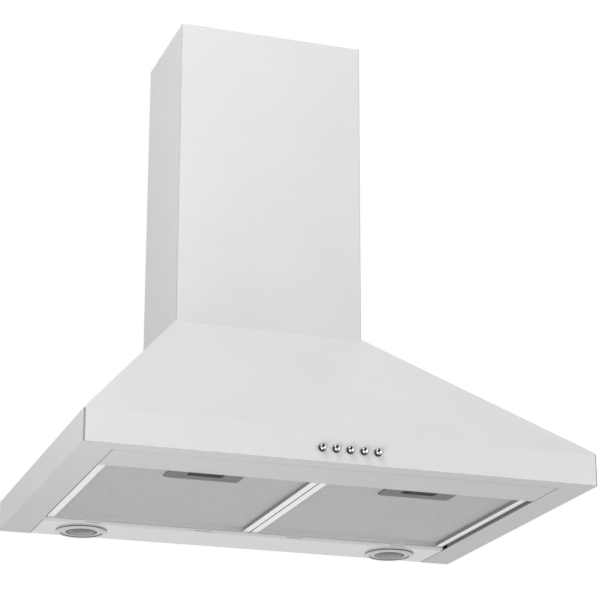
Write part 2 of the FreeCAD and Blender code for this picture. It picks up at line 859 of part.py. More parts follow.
def blade(angle):
    """One forward-curved blade between the inner and outer radius, drawn in the YZ plane."""
    inner, outer, thick = impeller_inner, impeller_radius, blade_thickness
    lead = math.radians(9)

    def at(radius, turn):
        return V(0, radius * math.cos(angle + turn), radius * math.sin(angle + turn))

    middle = (inner + outer) / 2
    step = thick / outer
    edges = [
        Part.Arc(at(inner, 0), at(middle, lead * 0.25), at(outer, lead)).toShape(),
        Part.LineSegment(at(outer, lead), at(outer, lead + step)).toShape(),
        Part.Arc(at(outer, lead + step), at(middle, lead * 0.25 + step), at(inner, step)).toShape(),
        Part.LineSegment(at(inner, step), at(inner, 0)).toShape(),
    ]
    solid = Part.Face(Part.Wire(edges)).extrude(V(impeller_width - 2, 0, 0))
    solid.translate(V(1 - impeller_width / 2, 0, 0))
    return solid


def impeller():
    half = impeller_width / 2
    middle = (impeller_inner + impeller_radius) / 2
    blades = [blade(2 * math.pi * i / blade_count) for i in range(blade_count)]
    rings = []
    for side in (-1, 1):
        outer_face, inner_face = V(side * half, 0, 0), V(side * (half - end_ring), 0, 0)
        rings.append(tube(impeller_radius + 0.8, middle, outer_face, inner_face))
    disc = rod(impeller_radius - 0.5, V(-hub_disc / 2, 0, 0), V(hub_disc / 2, 0, 0))
    hub = rod(hub_radius, V(-hub_length / 2, 0, 0), V(hub_length / 2, 0, 0))
    wheel = joined([disc, hub] + rings + blades)
    wheel = wheel.cut(rod(shaft_radius, V(-hub_length, 0, 0), V(hub_length, 0, 0)))
    wheel.translate(V(0, fan_y, fan_z))
    return wheel


def motor_shaft():
    return rod(shaft_radius, V(motor_end + motor_bell, fan_y, fan_z), V(hub_length / 2 + 6, fan_y, fan_z))


def impeller_clip():
    start = V(hub_length / 2, fan_y, fan_z)
    return tube(hub_radius * 0.6, shaft_radius, start, start + V(3, 0, 0))


def motor():
    def at(distance):
        return V(motor_end + distance, fan_y, fan_z)

    front = rod(motor_bell_radius, at(0), at(motor_length))
    core = rod(motor_radius, at(motor_bell), at(motor_length - motor_bell))
    body = joined([front, core])
    body = body.cut(rod(shaft_radius + shaft_fit, at(motor_bell), at(motor_length + 1)))
    for i in range(motor_vents):
        angle = 2 * math.pi * i / motor_vents
        across = V(0, motor_vent_circle * math.cos(angle), motor_vent_circle * math.sin(angle))
        start, end = at(motor_length - motor_vent_radius) + across, at(motor_length + 1) + across
        body = body.cut(rod(motor_vent_radius, start, end))
    return body


def motor_screw_places():
    reach = inlet_radius + bellmouth_wall + bracket_ring / 2
    return [(fan_y + reach * math.cos(a), fan_z + reach * math.sin(a)) for a in arm_angles()]


def arm_angles():
    return [math.pi / 2 + 2 * math.pi * i / arm_count for i in range(arm_count)]


def motor_bracket():
    x0, x1 = -housing_outer - bracket_sheet, -housing_outer
    inner = inlet_radius + bellmouth_wall
    ring = tube(inner + bracket_ring, inner, V(x0, fan_y, fan_z), V(x1, fan_y, fan_z))
    disc = rod(motor_disc_radius, V(x0, fan_y, fan_z), V(x1, fan_y, fan_z))
    pieces = [ring, disc]
    for angle in arm_angles():
        arm = block(x0, x1, motor_disc_radius * 0.8, inner + 1, -arm_width / 2, arm_width / 2)
        arm.rotate(V(0, 0, 0), X_AXIS, math.degrees(angle))
        arm.translate(V(0, fan_y, fan_z))
        pieces.append(arm)
    bracket = joined(pieces)
    for y, z in motor_screw_places():
        bracket = bracket.cut(rod(screw_radius + screw_fit, V(x0 - 1, y, z), V(x1 + 1, y, z)))
    return bracket


def motor_screws():
    x = -housing_outer - bracket_sheet
    return Part.makeCompound([small_screw(x, y, z) for y, z in motor_screw_places()])


def small_screw(x, y, z):
    body = rod(screw_radius, V(x, y, z), V(-housing_inner, y, z))
    head = rod(bracket_ring / 2, V(x - screw_head, y, z), V(x, y, z))
    return body.fuse(head).removeSplitter()


def inlet_grille(side):
    face = side * housing_outer
    outer_end = side * (housing_outer + grille_depth)
    bar_start = side * (housing_outer + grille_depth - grille_bar)

    def at(x):
        return V(x, fan_y, fan_z)

    pieces = [tube(grille_inner + grille_rim, grille_inner, at(face), at(outer_end))]
    step = grille_inner / grille_rings
    bar = grille_bar / 2
    for i in range(1, grille_rings):
        pieces.append(tube(i * step + bar, i * step - bar, at(bar_start), at(outer_end)))
    x0, x1 = sorted((bar_start, outer_end))
    for i in range(grille_spokes):
        spoke = block(x0, x1, step - bar, grille_inner + 1, -bar, bar)
        spoke.rotate(V(0, 0, 0), X_AXIS, 360.0 * i / grille_spokes)
        spoke.translate(V(0, fan_y, fan_z))
        pieces.append(spoke)
    return joined(pieces)


# Deck across the top of the canopy: it carries the blower below and the duct collar above


def deck_screw_places():
    x = housing_outer + neck_flange / 2
    return [(s * x, duct_y + t * neck_depth * 0.36) for s in (-1, 1) for t in (-1, 1)]


def chimney_screw_places():
    return [(s * tab_x, y) for s in (-1, 1) for y in tab_places]


def collar_screw_places():
    reach = collar_ear_reach / math.sqrt(2)
    return [(s * reach, duct_y + t * reach) for s in (-1, 1) for t in (-1, 1)]


def blower_deck():
    half = chimney_half - deck_margin
    front = deck_margin - chimney_depth
    deck = block(-half, half, front, back_plane, deck_bottom, deck_top)
    ends = half - deck_flange_inset
    flange = block(-ends, ends, back_plane - deck_sheet, back_plane, deck_bottom - deck_flange, deck_top)
    deck = joined([deck, flange])
    hole = collar_radius - collar_wall + deck_hole_margin
    deck = deck.cut(rod(hole, V(0, duct_y, deck_bottom - 1), V(0, duct_y, deck_top + 1)))
    holes = [(x, y, screw_radius + screw_fit) for x, y in deck_screw_places() + collar_screw_places()]
    holes += [(x, y, screw_radius) for x, y in chimney_screw_places()]
    holes.append((gland_x, -gland_y, gland_body + 0.1))
    for x, y, radius in holes:
        deck = deck.cut(rod(radius, V(x, y, deck_bottom - 1), V(x, y, deck_top + 1)))
    return deck


def deck_screws():
    length = deck_sheet + housing_wall + 4
    return Part.makeCompound([screw(V(x, y, deck_top), V(0, 0, -1), length) for x, y in deck_screw_places()])


def outlet_collar():
    base, top = collar_base, collar_base + collar_height
    ring = tube(collar_radius, collar_radius - collar_wall, V(0, duct_y, base), V(0, duct_y, top))
    seat = base + collar_wall
    rim = collar_radius + collar_flange
    flange = tube(rim, collar_radius - collar_wall, V(0, duct_y, base), V(0, duct_y, seat))
    ears = [rod(collar_ear_radius, V(x, y, base), V(x, y, seat)) for x, y in collar_screw_places()]
    inner = rod(collar_radius - collar_wall, V(0, duct_y, base - 1), V(0, duct_y, top + 1))
    collar = joined([ring, flange] + [ear.cut(inner) for ear in ears] + flap_stops())
    collar = collar.cut(flap_pin())
    for x, y in collar_screw_places():
        collar = collar.cut(rod(screw_radius + screw_fit, V(x, y, base - 1), V(x, y, seat + 1)))
    return collar


def flap_stops():
    stops = []
    top = flap_z - flap_thickness - 0.3
    reach = collar_radius - collar_wall / 2
    for side in (-1, 1):
        y0, y1 = sorted((duct_y + side * (reach - flap_stop), duct_y + side * reach))
        stops.append(block(-flap_stop, flap_stop, y0, y1, top - flap_stop / 2, top))
    return stops


def collar_screws():
    seat = collar_base + collar_wall
    length = collar_wall + deck_sheet + 3
    return Part.makeCompound([screw(V(x, y, seat), V(0, 0, -1), length) for x, y in collar_screw_places()])


def flap_pin():
    """Hinge pin of both flaps; its ends sit in blind holes, so that the outside of the collar stays smooth."""
    reach = collar_radius - flap_pin_skin
    return rod(flap_pin_radius, V(-reach, duct_y, flap_z), V(reach, duct_y, flap_z))


def knuckle_spans(side):
    """Alternate lengths of the hinge pin, so that the two flaps share it."""
    pitch = flap_knuckle + flap_knuckle_gap
    first = -2 * pitch if side < 0 else -pitch
    return [(first + i * 2 * pitch, first + i * 2 * pitch + flap_knuckle) for i in range(2)]


def flap(side):
    disc = rod(flap_radius, V(0, 0, -flap_thickness), V(0, 0, 0))
    y0, y1 = sorted((side * flap_hinge_gap, side * 2 * flap_radius))
    pieces = [disc.common(block(-flap_radius, flap_radius, y0, y1, -2 * flap_thickness, flap_thickness))]
    for x0, x1 in knuckle_spans(side):
        pieces.append(rod(flap_ring, V(x0, 0, 0), V(x1, 0, 0)))
        a0, a1 = sorted((0, side * (flap_hinge_gap + 2)))
        pieces.append(block(x0, x1, a0, a1, -flap_thickness, 0))
    leaf = joined(pieces)
    bore = flap_pin_radius + flap_fit
    leaf = leaf.cut(rod(bore, V(-flap_radius, 0, 0), V(flap_radius, 0, 0)))
    leaf.translate(V(0, duct_y, flap_z))
    return leaf


# Chimney covers


def cover(half, front, back, low, high, fold):
    """Three-sided sheet cover, open at the wall, with its rear edges folded inwards."""
    outer = block(-half, half, front, back, low, high)
    inner = block(sheet - half, half - sheet, front + sheet, back - sheet, low - 1, high + 1)
    mouth = block(fold - half, half - fold, back - 2 * sheet, back + 1, low - 1, high + 1)
    shell = outer.cut(inner).cut(mouth)
    front_corners = [e for e in along(outer, Z_AXIS) if e.BoundBox.YMax < front + 1]
    rounded = outer.makeFillet(1.2, front_corners)
    return shell.common(rounded)


def chimney_lower():
    shell = cover(chimney_half, -chimney_depth, 0, canopy_top, chimney_top, chimney_return)
    tabs = []
    half = chimney_tab_length / 2
    for side in (-1, 1):
        x0, x1 = sorted((side * (chimney_half - 0.5 * sheet), side * (chimney_half - sheet - chimney_tab)))
        for y in tab_places:
            tab = block(x0, x1, y - half, y + half, canopy_top, canopy_top + sheet)
            low, high = V(side * tab_x, y, canopy_top - 1), V(side * tab_x, y, canopy_top + 2)
            tabs.append(tab.cut(rod(screw_radius + screw_fit, low, high)))
    return joined([shell] + tabs)


def chimney_screws():
    seat = canopy_top + sheet
    length = 2 * sheet + deck_sheet + 3
    return Part.makeCompound([screw(V(x, y, seat), V(0, 0, -1), length) for x, y in chimney_screw_places()])


def bracket_screw_places():
    x = upper_half - sheet - upper_return / 2
    return [(s * x, bracket_middle) for s in (-1, 1)]


def chimney_upper():
    shell = cover(upper_half, upper_front, upper_back, upper_bottom, upper_top, upper_return + sheet)
    middle = (upper_front + upper_back) / 2
    front, back = middle - vent_length / 2, middle + vent_length / 2
    for i in range(vent_count):
        z = upper_top - vent_top_gap - i * vent_pitch
        shell = shell.cut(block(-upper_half - 1, upper_half + 1, front, back, z - vent_height, z))
    for x, z in bracket_screw_places():
        shell = shell.cut(rod(screw_radius, V(x, upper_back - 2 * sheet, z), V(x, upper_back + 1, z)))
    return shell


def chimney_bracket():
    """Wall strip for the upper cover: its middle lies on the wall, its ends in front of the cover's folds."""
    low, high = bracket_top - wall_bracket_height, bracket_top
    front = upper_back - sheet
    end = upper_half - sheet - 0.5
    middle = chimney_half - chimney_return - 2
    pieces = [block(-middle, middle, -bracket_sheet, 0, low, high)]
    for side in (-1, 1):
        x0, x1 = sorted((side * (middle - bracket_sheet), side * end))
        pieces.append(block(x0, x1, front - bracket_sheet, front, low, high))
        x0, x1 = sorted((side * (middle - bracket_sheet), side * middle))
        pieces.append(block(x0, x1, front - bracket_sheet, 0, low, high))
    strip = joined(pieces)
    for side in (-1, 1):
        x = side * wall_bracket_spacing / 2
        strip = strip.cut(rod(wall_bracket_hole, V(x, -5, bracket_middle), V(x, 1, bracket_middle)))
    for x, z in bracket_screw_places():
        strip = strip.cut(rod(screw_radius + screw_fit, V(x, front - 3, z), V(x, front + 1, z)))
    return strip


def chimney_bracket_screws():
    seat = upper_back - sheet - bracket_sheet
    length = sheet + bracket_sheet
    return Part.makeCompound([screw(V(x, seat, z), Y_AXIS, length) for x, z in bracket_screw_places()])


# Electrical pieces


def capacitor():
    y = back_plane - clamp_sheet - capacitor_radius
    low = capacitor_z
    can = rod(capacitor_radius, V(-capacitor_x, y, low), V(-capacitor_x, y, low + capacitor_length))
    rims = [e for e in can.Edges if e.Curve.TypeId == "Part::GeomCircle"]
    can = can.makeChamfer(1.5, rims)
    top = low + capacitor_length
    blades = []
    for side in (-1, 1):
        x = side * capacitor_blade - capacitor_x
        blades.append(block(x - 3, x + 3, y - 0.4, y + 0.4, top - 1, top + 8))
    return joined([can] + blades)


def capacitor_clamp():
    """Strap round the capacitor with two feet on the back panel."""
    radius = capacitor_radius + 0.3
    y = back_plane - clamp_sheet - capacitor_radius
    low = capacitor_z + (capacitor_length - clamp_width) / 2
    x = -capacitor_x
    band = tube(radius + clamp_sheet, radius, V(x, y, low), V(x, y, low + clamp_width))
    mouth = y + capacitor_radius * 0.8
    band = band.cut(block(x - 2 * radius, x + 2 * radius, mouth, 5, low - 1, low + clamp_width + 1))
    reach = radius + clamp_foot
    feet = []
    for side in (-1, 1):
        x0, x1 = sorted((x + side * radius * 0.55, x + side * reach))
        feet.append(block(x0, x1, back_plane - clamp_sheet, back_plane, low, low + clamp_width))
        a0, a1 = sorted((x + side * (radius + clamp_sheet), x + side * radius))
        feet.append(block(a0, a1, y, back_plane, low, low + clamp_width))
    inside = rod(radius, V(x, y, low - 1), V(x, y, low + clamp_width + 1))
    return joined([band] + [foot.cut(inside) for foot in feet])


def terminal_box():
    """Square box on the back panel with a groove where its lid closes."""
    x0, x1 = terminal_x - terminal_width / 2, terminal_x + terminal_width / 2
    y0 = back_plane - terminal_depth
    z0, z1 = terminal_z, terminal_z + terminal_height
    box = block(x0, x1, y0, back_plane, z0, z1)
    box = box.makeFillet(terminal_corner, along(box, Y_AXIS))
    lid_edge = y0 + terminal_lid
    rim = block(x0 - 1, x1 + 1, lid_edge - 1, lid_edge, z0 - 1, z1 + 1)
    core = block(x0 + 1, x1 - 1, lid_edge - 2, lid_edge + 1, z0 + 1, z1 - 1)
    return box.cut(rim.cut(core))


def cable_gland():
    x, y = gland_x, -gland_y
    points = [(gland_bore, deck_bottom - 8), (gland_body, deck_bottom - 8), (gland_body, deck_top)]
    points += [(gland_nut, deck_top), (gland_nut, deck_top + 5), (gland_body + 1, deck_top + 7)]
    points += [(gland_bore + 1.2, deck_top + 14), (gland_bore, deck_top + 14)]
    return turned(outline(points), V(x, y, 0))


# Everything by name


def fixed_parts():
    whole_housing = housing()
    return {
        "canopy_shell": canopy_shell(),
        "back_panel": back_panel(),
        "back_panel_rivets": back_panel_rivets(),
        "front_panel": front_panel(),
        "front_panel_nuts": stud_nuts(panel_studs()),
        "light_bar": light_bar(),
        "light_bar_nuts": stud_nuts(bar_studs()),
        "switch_block": switch_block(),
        "switch_bracket": switch_bracket(),
        "blower_deck": blower_deck(),
        "deck_screws": deck_screws(),
        "blower_housing_left": housing_half(whole_housing, -1),
        "blower_housing_right": housing_half(whole_housing, 1),
        "housing_screws": housing_screws(),
        "motor": motor(),
        "motor_bracket": motor_bracket(),
        "motor_screws": motor_screws(),
        "inlet_grille_left": inlet_grille(-1),
        "inlet_grille_right": inlet_grille(1),
        "outlet_collar": outlet_collar(),
        "collar_screws": collar_screws(),
        "flap_pin": flap_pin(),
        "capacitor": capacitor(),
        "capacitor_clamp": capacitor_clamp(),
        "terminal_box": terminal_box(),
        "cable_gland": cable_gland(),
        "chimney_lower": chimney_lower(),
        "chimney_screws": chimney_screws(),
    }


def moving_parts():
    return {
        "impeller": impeller(),
        "motor_shaft": motor_shaft(),
        "impeller_clip": impeller_clip(),
        "flap_front": flap(-1),
        "flap_rear": flap(1),
        "chimney_upper": chimney_upper(),
        "chimney_bracket": chimney_bracket(),
        "chimney_bracket_screws": chimney_bracket_screws(),
    }


def paired_parts():
    parts = {}
    for name, side in (("left", -1), ("right", 1)):
        parts["lamp_ring_" + name] = lamp_ring(side * lamp_x)
        parts["lamp_lens_" + name] = lamp_lens(side * lamp_x)
        parts["lamp_housing_" + name] = lamp_housing(side * lamp_x)
        parts["lamp_bulb_" + name] = lamp_bulb(side * lamp_x)
        parts["filter_frame_" + name] = filter_frame(side * filter_x)
        parts["filter_mesh_" + name] = filter_mesh(side * filter_x)
        parts["latch_plate_" + name] = latch_plate(side * filter_x)
        parts["latch_slider_" + name] = latch_slider(side * filter_x)
        parts["latch_spring_" + name] = latch_spring(side * filter_x)
    return parts


def button_parts():
    return {"button_%d" % (i + 1): button(x) for i, x in enumerate(button_places())}


def write_parts():
    os.makedirs("parts", exist_ok=True)
    parts = {**fixed_parts(), **moving_parts(), **paired_parts(), **button_parts()}
    for name, shape in parts.items():
        shape.translate(V(0, 0, -hang_height))
        shape.exportStep("parts/%s.step" % name)
    return parts


if __name__ == "__main__":
    write_parts()
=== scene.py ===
"""Finishes, filter cloth and photo stage for a wall-mounted chimney hood."""

import json
import math

import bpy
from bpy.props import FloatProperty, FloatVectorProperty, PointerProperty
from mathutils import Matrix, Vector


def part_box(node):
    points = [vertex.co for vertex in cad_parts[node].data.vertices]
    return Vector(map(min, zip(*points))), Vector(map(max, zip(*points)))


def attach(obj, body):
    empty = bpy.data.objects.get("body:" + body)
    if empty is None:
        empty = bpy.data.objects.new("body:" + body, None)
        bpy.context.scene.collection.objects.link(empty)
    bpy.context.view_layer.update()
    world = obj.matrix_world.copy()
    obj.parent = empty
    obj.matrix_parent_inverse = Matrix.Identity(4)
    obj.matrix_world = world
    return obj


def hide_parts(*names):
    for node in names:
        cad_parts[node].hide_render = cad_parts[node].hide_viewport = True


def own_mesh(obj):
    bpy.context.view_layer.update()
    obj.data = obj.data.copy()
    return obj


bl_info = {
    "name": "Chimney Hood",
    "version": (1, 0, 0),
    "blender": (4, 5, 0),
    "location": "View3D > Sidebar > Hood",
    "description": "Finishes, filter cloth and photo stage for a wall-mounted chimney hood",
    "category": "Object",
}

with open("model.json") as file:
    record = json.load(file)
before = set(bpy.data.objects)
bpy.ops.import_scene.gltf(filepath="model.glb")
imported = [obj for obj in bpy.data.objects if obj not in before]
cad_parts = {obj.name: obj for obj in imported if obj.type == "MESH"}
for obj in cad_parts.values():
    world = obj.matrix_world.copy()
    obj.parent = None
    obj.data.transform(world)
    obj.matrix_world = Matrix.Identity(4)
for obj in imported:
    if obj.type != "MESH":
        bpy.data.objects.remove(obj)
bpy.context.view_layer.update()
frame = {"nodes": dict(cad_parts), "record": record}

SIDES = ("left", "right")
MM = 0.001


# Colours, coordinates and node building

def linear(code):
    """The linear colour, with full alpha, of an sRGB hex value."""
    parts = [int(code[i:i + 2], 16) / 255 for i in (1, 3, 5)]
    return tuple(c / 12.92 if c <= 0.04045 else ((c + 0.055) / 1.055) ** 2.4 for c in parts) + (1.0,)


def per_metre(size_mm):
    """Texture scale that gives one feature in so many millimetres."""
    return 1000.0 / size_mm


def add(tree, kind, inputs=None, **settings):
    """A new node with its settings; an input takes a number, a colour or another node's output."""
    node = tree.nodes.new(kind)
    for name, value in settings.items():
        setattr(node, name, value)
    for name, value in (inputs or {}).items():
        if isinstance(value, bpy.types.NodeSocket):
            tree.links.new(value, node.inputs[name])
        else:
            node.inputs[name].default_value = value
    return node


def new_finish(name, colour, roughness, metallic=0.0):
    """A material with its main shader; returns the material, its tree, the shader and object coordinates."""
    made = bpy.data.materials.new(name)
    made.use_nodes = True
    tree = made.node_tree
    shader = next(n for n in tree.nodes if n.type == "BSDF_PRINCIPLED")
    shader.inputs["Base Color"].default_value = colour
    shader.inputs["Roughness"].default_value = roughness
    shader.inputs["Metallic"].default_value = metallic
    made.diffuse_color = colour
    place = add(tree, "ShaderNodeTexCoord").outputs["Object"]
    return made, tree, shader, place


def shade(colour, share):
    """The colour darkened or lightened to that share of itself."""
    return tuple(min(1.0, c * share) for c in colour[:3]) + (1.0,)


def link(tree, output, shader, socket):
    tree.links.new(output, shader.inputs[socket])


def dress(nodes, finish):
    """Gives each CAD node the finish, in place of what model.glb brought."""
    for name in nodes:
        mesh = frame["nodes"][name].data
        mesh.materials.clear()
        mesh.materials.append(finish)
        for face in mesh.polygons:
            face.material_index = 0


def repaint(nodes, finish, chosen):
    """Gives the chosen faces of CAD nodes a second finish."""
    for name in nodes:
        mesh = frame["nodes"][name].data
        mesh.materials.append(finish)
        for face in mesh.polygons:
            if chosen(face):
                face.material_index = len(mesh.materials) - 1


def in_slot(slot):
    """The CAD nodes that take their finish from a material slot of the record."""
    return [s["node"] for s in frame["record"]["subparts"] if s["material_slot"] == slot]


def new_piece(name, mesh, body):
    """A piece of that mesh that rides on a body."""
    piece = bpy.data.objects.new(name, mesh)
    bpy.context.scene.collection.objects.link(piece)
    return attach(piece, body)


# Finishes

def powder_coated_steel(name, colour, roughness=0.42):
    """Mild steel sheet with baked powder coat: satin, faint orange peel, and folds painted darker as shade."""
    made, tree, shader, place = new_finish(name, colour, roughness)
    drift = add(tree, "ShaderNodeTexNoise", {"Vector": place, "Scale": per_metre(90.0)})
    drift = add(tree, "ShaderNodeMapRange", {"Value": drift.outputs["Fac"], "From Min": 0.3, "From Max": 0.7})
    coat = add(tree, "ShaderNodeMix", {0: drift.outputs["Result"], 6: shade(colour, 0.985), 7: shade(colour, 1.01)},
               data_type="RGBA")
    rounded = add(tree, "ShaderNodeBevel", {"Radius": 0.7 * MM}, samples=6).outputs["Normal"]
    flat = add(tree, "ShaderNodeNewGeometry").outputs["Normal"]
    # 1 on flat sheet and less at a fold, where the rounded normal leaves the face's own
    along = add(tree, "ShaderNodeVectorMath", {0: rounded, 1: flat}, operation="DOT_PRODUCT")
    along = add(tree, "ShaderNodeMapRange", {"Value": along.outputs["Value"], "From Min": 0.8, "From Max": 0.99})
    # painted shade: the colour darkens to 72 % of itself along every fold
    folded = add(tree, "ShaderNodeMix", {0: along.outputs["Result"], 6: shade(colour, 0.72), 7: coat.outputs[2]},
                 data_type="RGBA")
    link(tree, folded.outputs[2], shader, "Base Color")
    haze = add(tree, "ShaderNodeTexNoise", {"Vector": place, "Scale": per_metre(40.0)})
    haze = add(tree, "ShaderNodeMapRange", {"Value": haze.outputs["Fac"], "From Min": 0.3, "From Max": 0.7,
                                            "To Min": roughness * 0.95, "To Max": roughness * 1.05})
    link(tree, haze.outputs["Result"], shader, "Roughness")
    peel = add(tree, "ShaderNodeTexNoise", {"Vector": place, "Scale": per_metre(1.8), "Detail": 1.0})
    relief = add(tree, "ShaderNodeBump", {"Height": peel.outputs["Fac"], "Distance": 0.004 * MM, "Normal": rounded})
    link(tree, relief.outputs["Normal"], shader, "Normal")
    return made


def galvanised_steel(colours):
    """Hot-dipped steel sheet: zinc crystals 6 to 12 mm wide that each catch the light a little differently."""
    colour = colours.zinc
    made, tree, shader, place = new_finish("galvanised_steel_sheet", colour, 0.42, 1.0)
    wobble = add(tree, "ShaderNodeTexNoise", {"Vector": place, "Scale": per_metre(5.0)})
    wobble = add(tree, "ShaderNodeVectorMath", {0: wobble.outputs["Color"], "Scale": 3.0 * MM}, operation="SCALE")
    bent = add(tree, "ShaderNodeVectorMath", {0: place, 1: wobble.outputs["Vector"]})
    spangle = add(tree, "ShaderNodeTexVoronoi", {"Vector": bent.outputs["Vector"], "Scale": per_metre(9.0)})
    tone = add(tree, "ShaderNodeSeparateColor", {"Color": spangle.outputs["Color"]})
    grey = add(tree, "ShaderNodeMix", {0: tone.outputs["Red"], 6: shade(colour, 0.8), 7: shade(colour, 1.12)},
               data_type="RGBA")
    link(tree, grey.outputs[2], shader, "Base Color")
    gloss = add(tree, "ShaderNodeMapRange", {"Value": tone.outputs["Green"], "To Min": 0.34, "To Max": 0.52})
    link(tree, gloss.outputs["Result"], shader, "Roughness")
    rounded = add(tree, "ShaderNodeBevel", {"Radius": 0.3 * MM}, samples=6).outputs["Normal"]
    relief = add(tree, "ShaderNodeBump", {"Height": tone.outputs["Blue"], "Distance": 0.01 * MM, "Normal": rounded})
    link(tree, relief.outputs["Normal"], shader, "Normal")
    return made


def zinc_plated_steel(colours):
    """Pressed steel screws, nuts and rivets with bright zinc plating: light grey, slightly warm, softly mirrored."""
    colour = colours.plating
    made, tree, shader, place = new_finish("zinc_plated_steel", colour, 0.3, 1.0)
    cloud = add(tree, "ShaderNodeTexNoise", {"Vector": place, "Scale": per_metre(2.0)}).outputs["Fac"]
    grey = add(tree, "ShaderNodeMix", {0: cloud, 6: shade(colour, 0.88), 7: shade(colour, 1.05)}, data_type="RGBA")
    link(tree, grey.outputs[2], shader, "Base Color")
    gloss = add(tree, "ShaderNodeMapRange", {"Value": cloud, "From Min": 0.3, "From Max": 0.7,
                                             "To Min": 0.24, "To Max": 0.38})
    link(tree, gloss.outputs["Result"], shader, "Roughness")
    rounded = add(tree, "ShaderNodeBevel", {"Radius": 0.15 * MM}, samples=6)
    link(tree, rounded.outputs["Normal"], shader, "Normal")
    return made


def marked_steel(name, colour, stretch, mark_mm, depth_mm, roughness, tones):
    """Drawn or ground steel: fine marks one way, which blur the reflection across them."""
    made, tree, shader, place = new_finish(name, colour, roughness, 1.0)
    along = add(tree, "ShaderNodeMapping", {"Vector": place, "Scale": stretch})
    marks = add(tree, "ShaderNodeTexNoise", {"Vector": along.outputs["Vector"], "Scale": per_metre(mark_mm)})
    marks = marks.outputs["Fac"]
    grey = add(tree, "ShaderNodeMix", {0: marks, 6: shade(colour, tones[0]), 7: shade(colour, tones[1])},
               data_type="RGBA")
    link(tree, grey.outputs[2], shader, "Base Color")
    rounded = add(tree, "ShaderNodeBevel", {"Radius": 0.2 * MM}, samples=6).outputs["Normal"]
    relief = add(tree, "ShaderNodeBump", {"Height": marks, "Distance": depth_mm * MM, "Normal": rounded})
    link(tree, relief.outputs["Normal"], shader, "Normal")
    return made


def stove_painted_steel(colours):
    """Deep-drawn steel motor can with a cast bell: grey stove paint with a fine pebble."""
    colour = colours.motor
    made, tree, shader, place = new_finish("stove_painted_motor_steel", colour, 0.5)
    cloud = add(tree, "ShaderNodeTexNoise", {"Vector": place, "Scale": per_metre(12.0)}).outputs["Fac"]
    grey = add(tree, "ShaderNodeMix", {0: cloud, 6: shade(colour, 0.85), 7: shade(colour, 1.1)}, data_type="RGBA")
    link(tree, grey.outputs[2], shader, "Base Color")
    pebble = add(tree, "ShaderNodeTexNoise", {"Vector": place, "Scale": per_metre(0.9), "Detail": 3.0})
    rounded = add(tree, "ShaderNodeBevel", {"Radius": 0.6 * MM}, samples=6).outputs["Normal"]
    relief = add(tree, "ShaderNodeBump", {"Height": pebble.outputs["Fac"], "Distance": 0.04 * MM, "Normal": rounded})
    link(tree, relief.outputs["Normal"], shader, "Normal")
    return made


def rolled_aluminium(name, colour, roughness=0.29):
    """Rolled aluminium with faint lines along the strip; the filter's walls take darker copies of it as painted
    shade.
    """
    made, tree, shader, place = new_finish(name, colour, roughness, 1.0)
    rolled = add(tree, "ShaderNodeMapping", {"Vector": place, "Scale": (0.08, 1.0, 1.0)})
    lines = add(tree, "ShaderNodeTexNoise",
                {"Vector": rolled.outputs["Vector"], "Scale": per_metre(0.8), "Detail": 3.0}).outputs["Fac"]
    grey = add(tree, "ShaderNodeMix", {0: lines, 6: shade(colour, 0.95), 7: shade(colour, 1.03)}, data_type="RGBA")
    link(tree, grey.outputs[2], shader, "Base Color")
    gloss = add(tree, "ShaderNodeMapRange", {"Value": lines, "From Min": 0.3, "From Max": 0.7,
                                             "To Min": roughness - 0.05, "To Max": roughness + 0.05})
    link(tree, gloss.outputs["Result"], shader, "Roughness")
    rounded = add(tree, "ShaderNodeBevel", {"Radius": 0.5 * MM}, samples=6).outputs["Normal"]
    relief = add(tree, "ShaderNodeBump", {"Height": lines, "Distance": 0.004 * MM, "Normal": rounded})
    link(tree, relief.outputs["Normal"], shader, "Normal")
    return made


def stretched_aluminium(colours):
    """Expanded aluminium foil: slit and stretched strands, bright on top and dull at the slit edges."""
    colour = colours.cloth
    made, tree, shader, place = new_finish("expanded_aluminium_foil", colour, 0.38, 1.0)
    specks = add(tree, "ShaderNodeTexNoise", {"Vector": place, "Scale": per_metre(3.0)}).outputs["Fac"]
    grey = add(tree, "ShaderNodeMix", {0: specks, 6: shade(colour, 0.88), 7: shade(colour, 1.06)}, data_type="RGBA")
    link(tree, grey.outputs[2], shader, "Base Color")
    dents = add(tree, "ShaderNodeTexNoise", {"Vector": place, "Scale": per_metre(0.6)})
    relief = add(tree, "ShaderNodeBump", {"Height": dents.outputs["Fac"], "Distance": 0.01 * MM})
    link(tree, relief.outputs["Normal"], shader, "Normal")
    return made


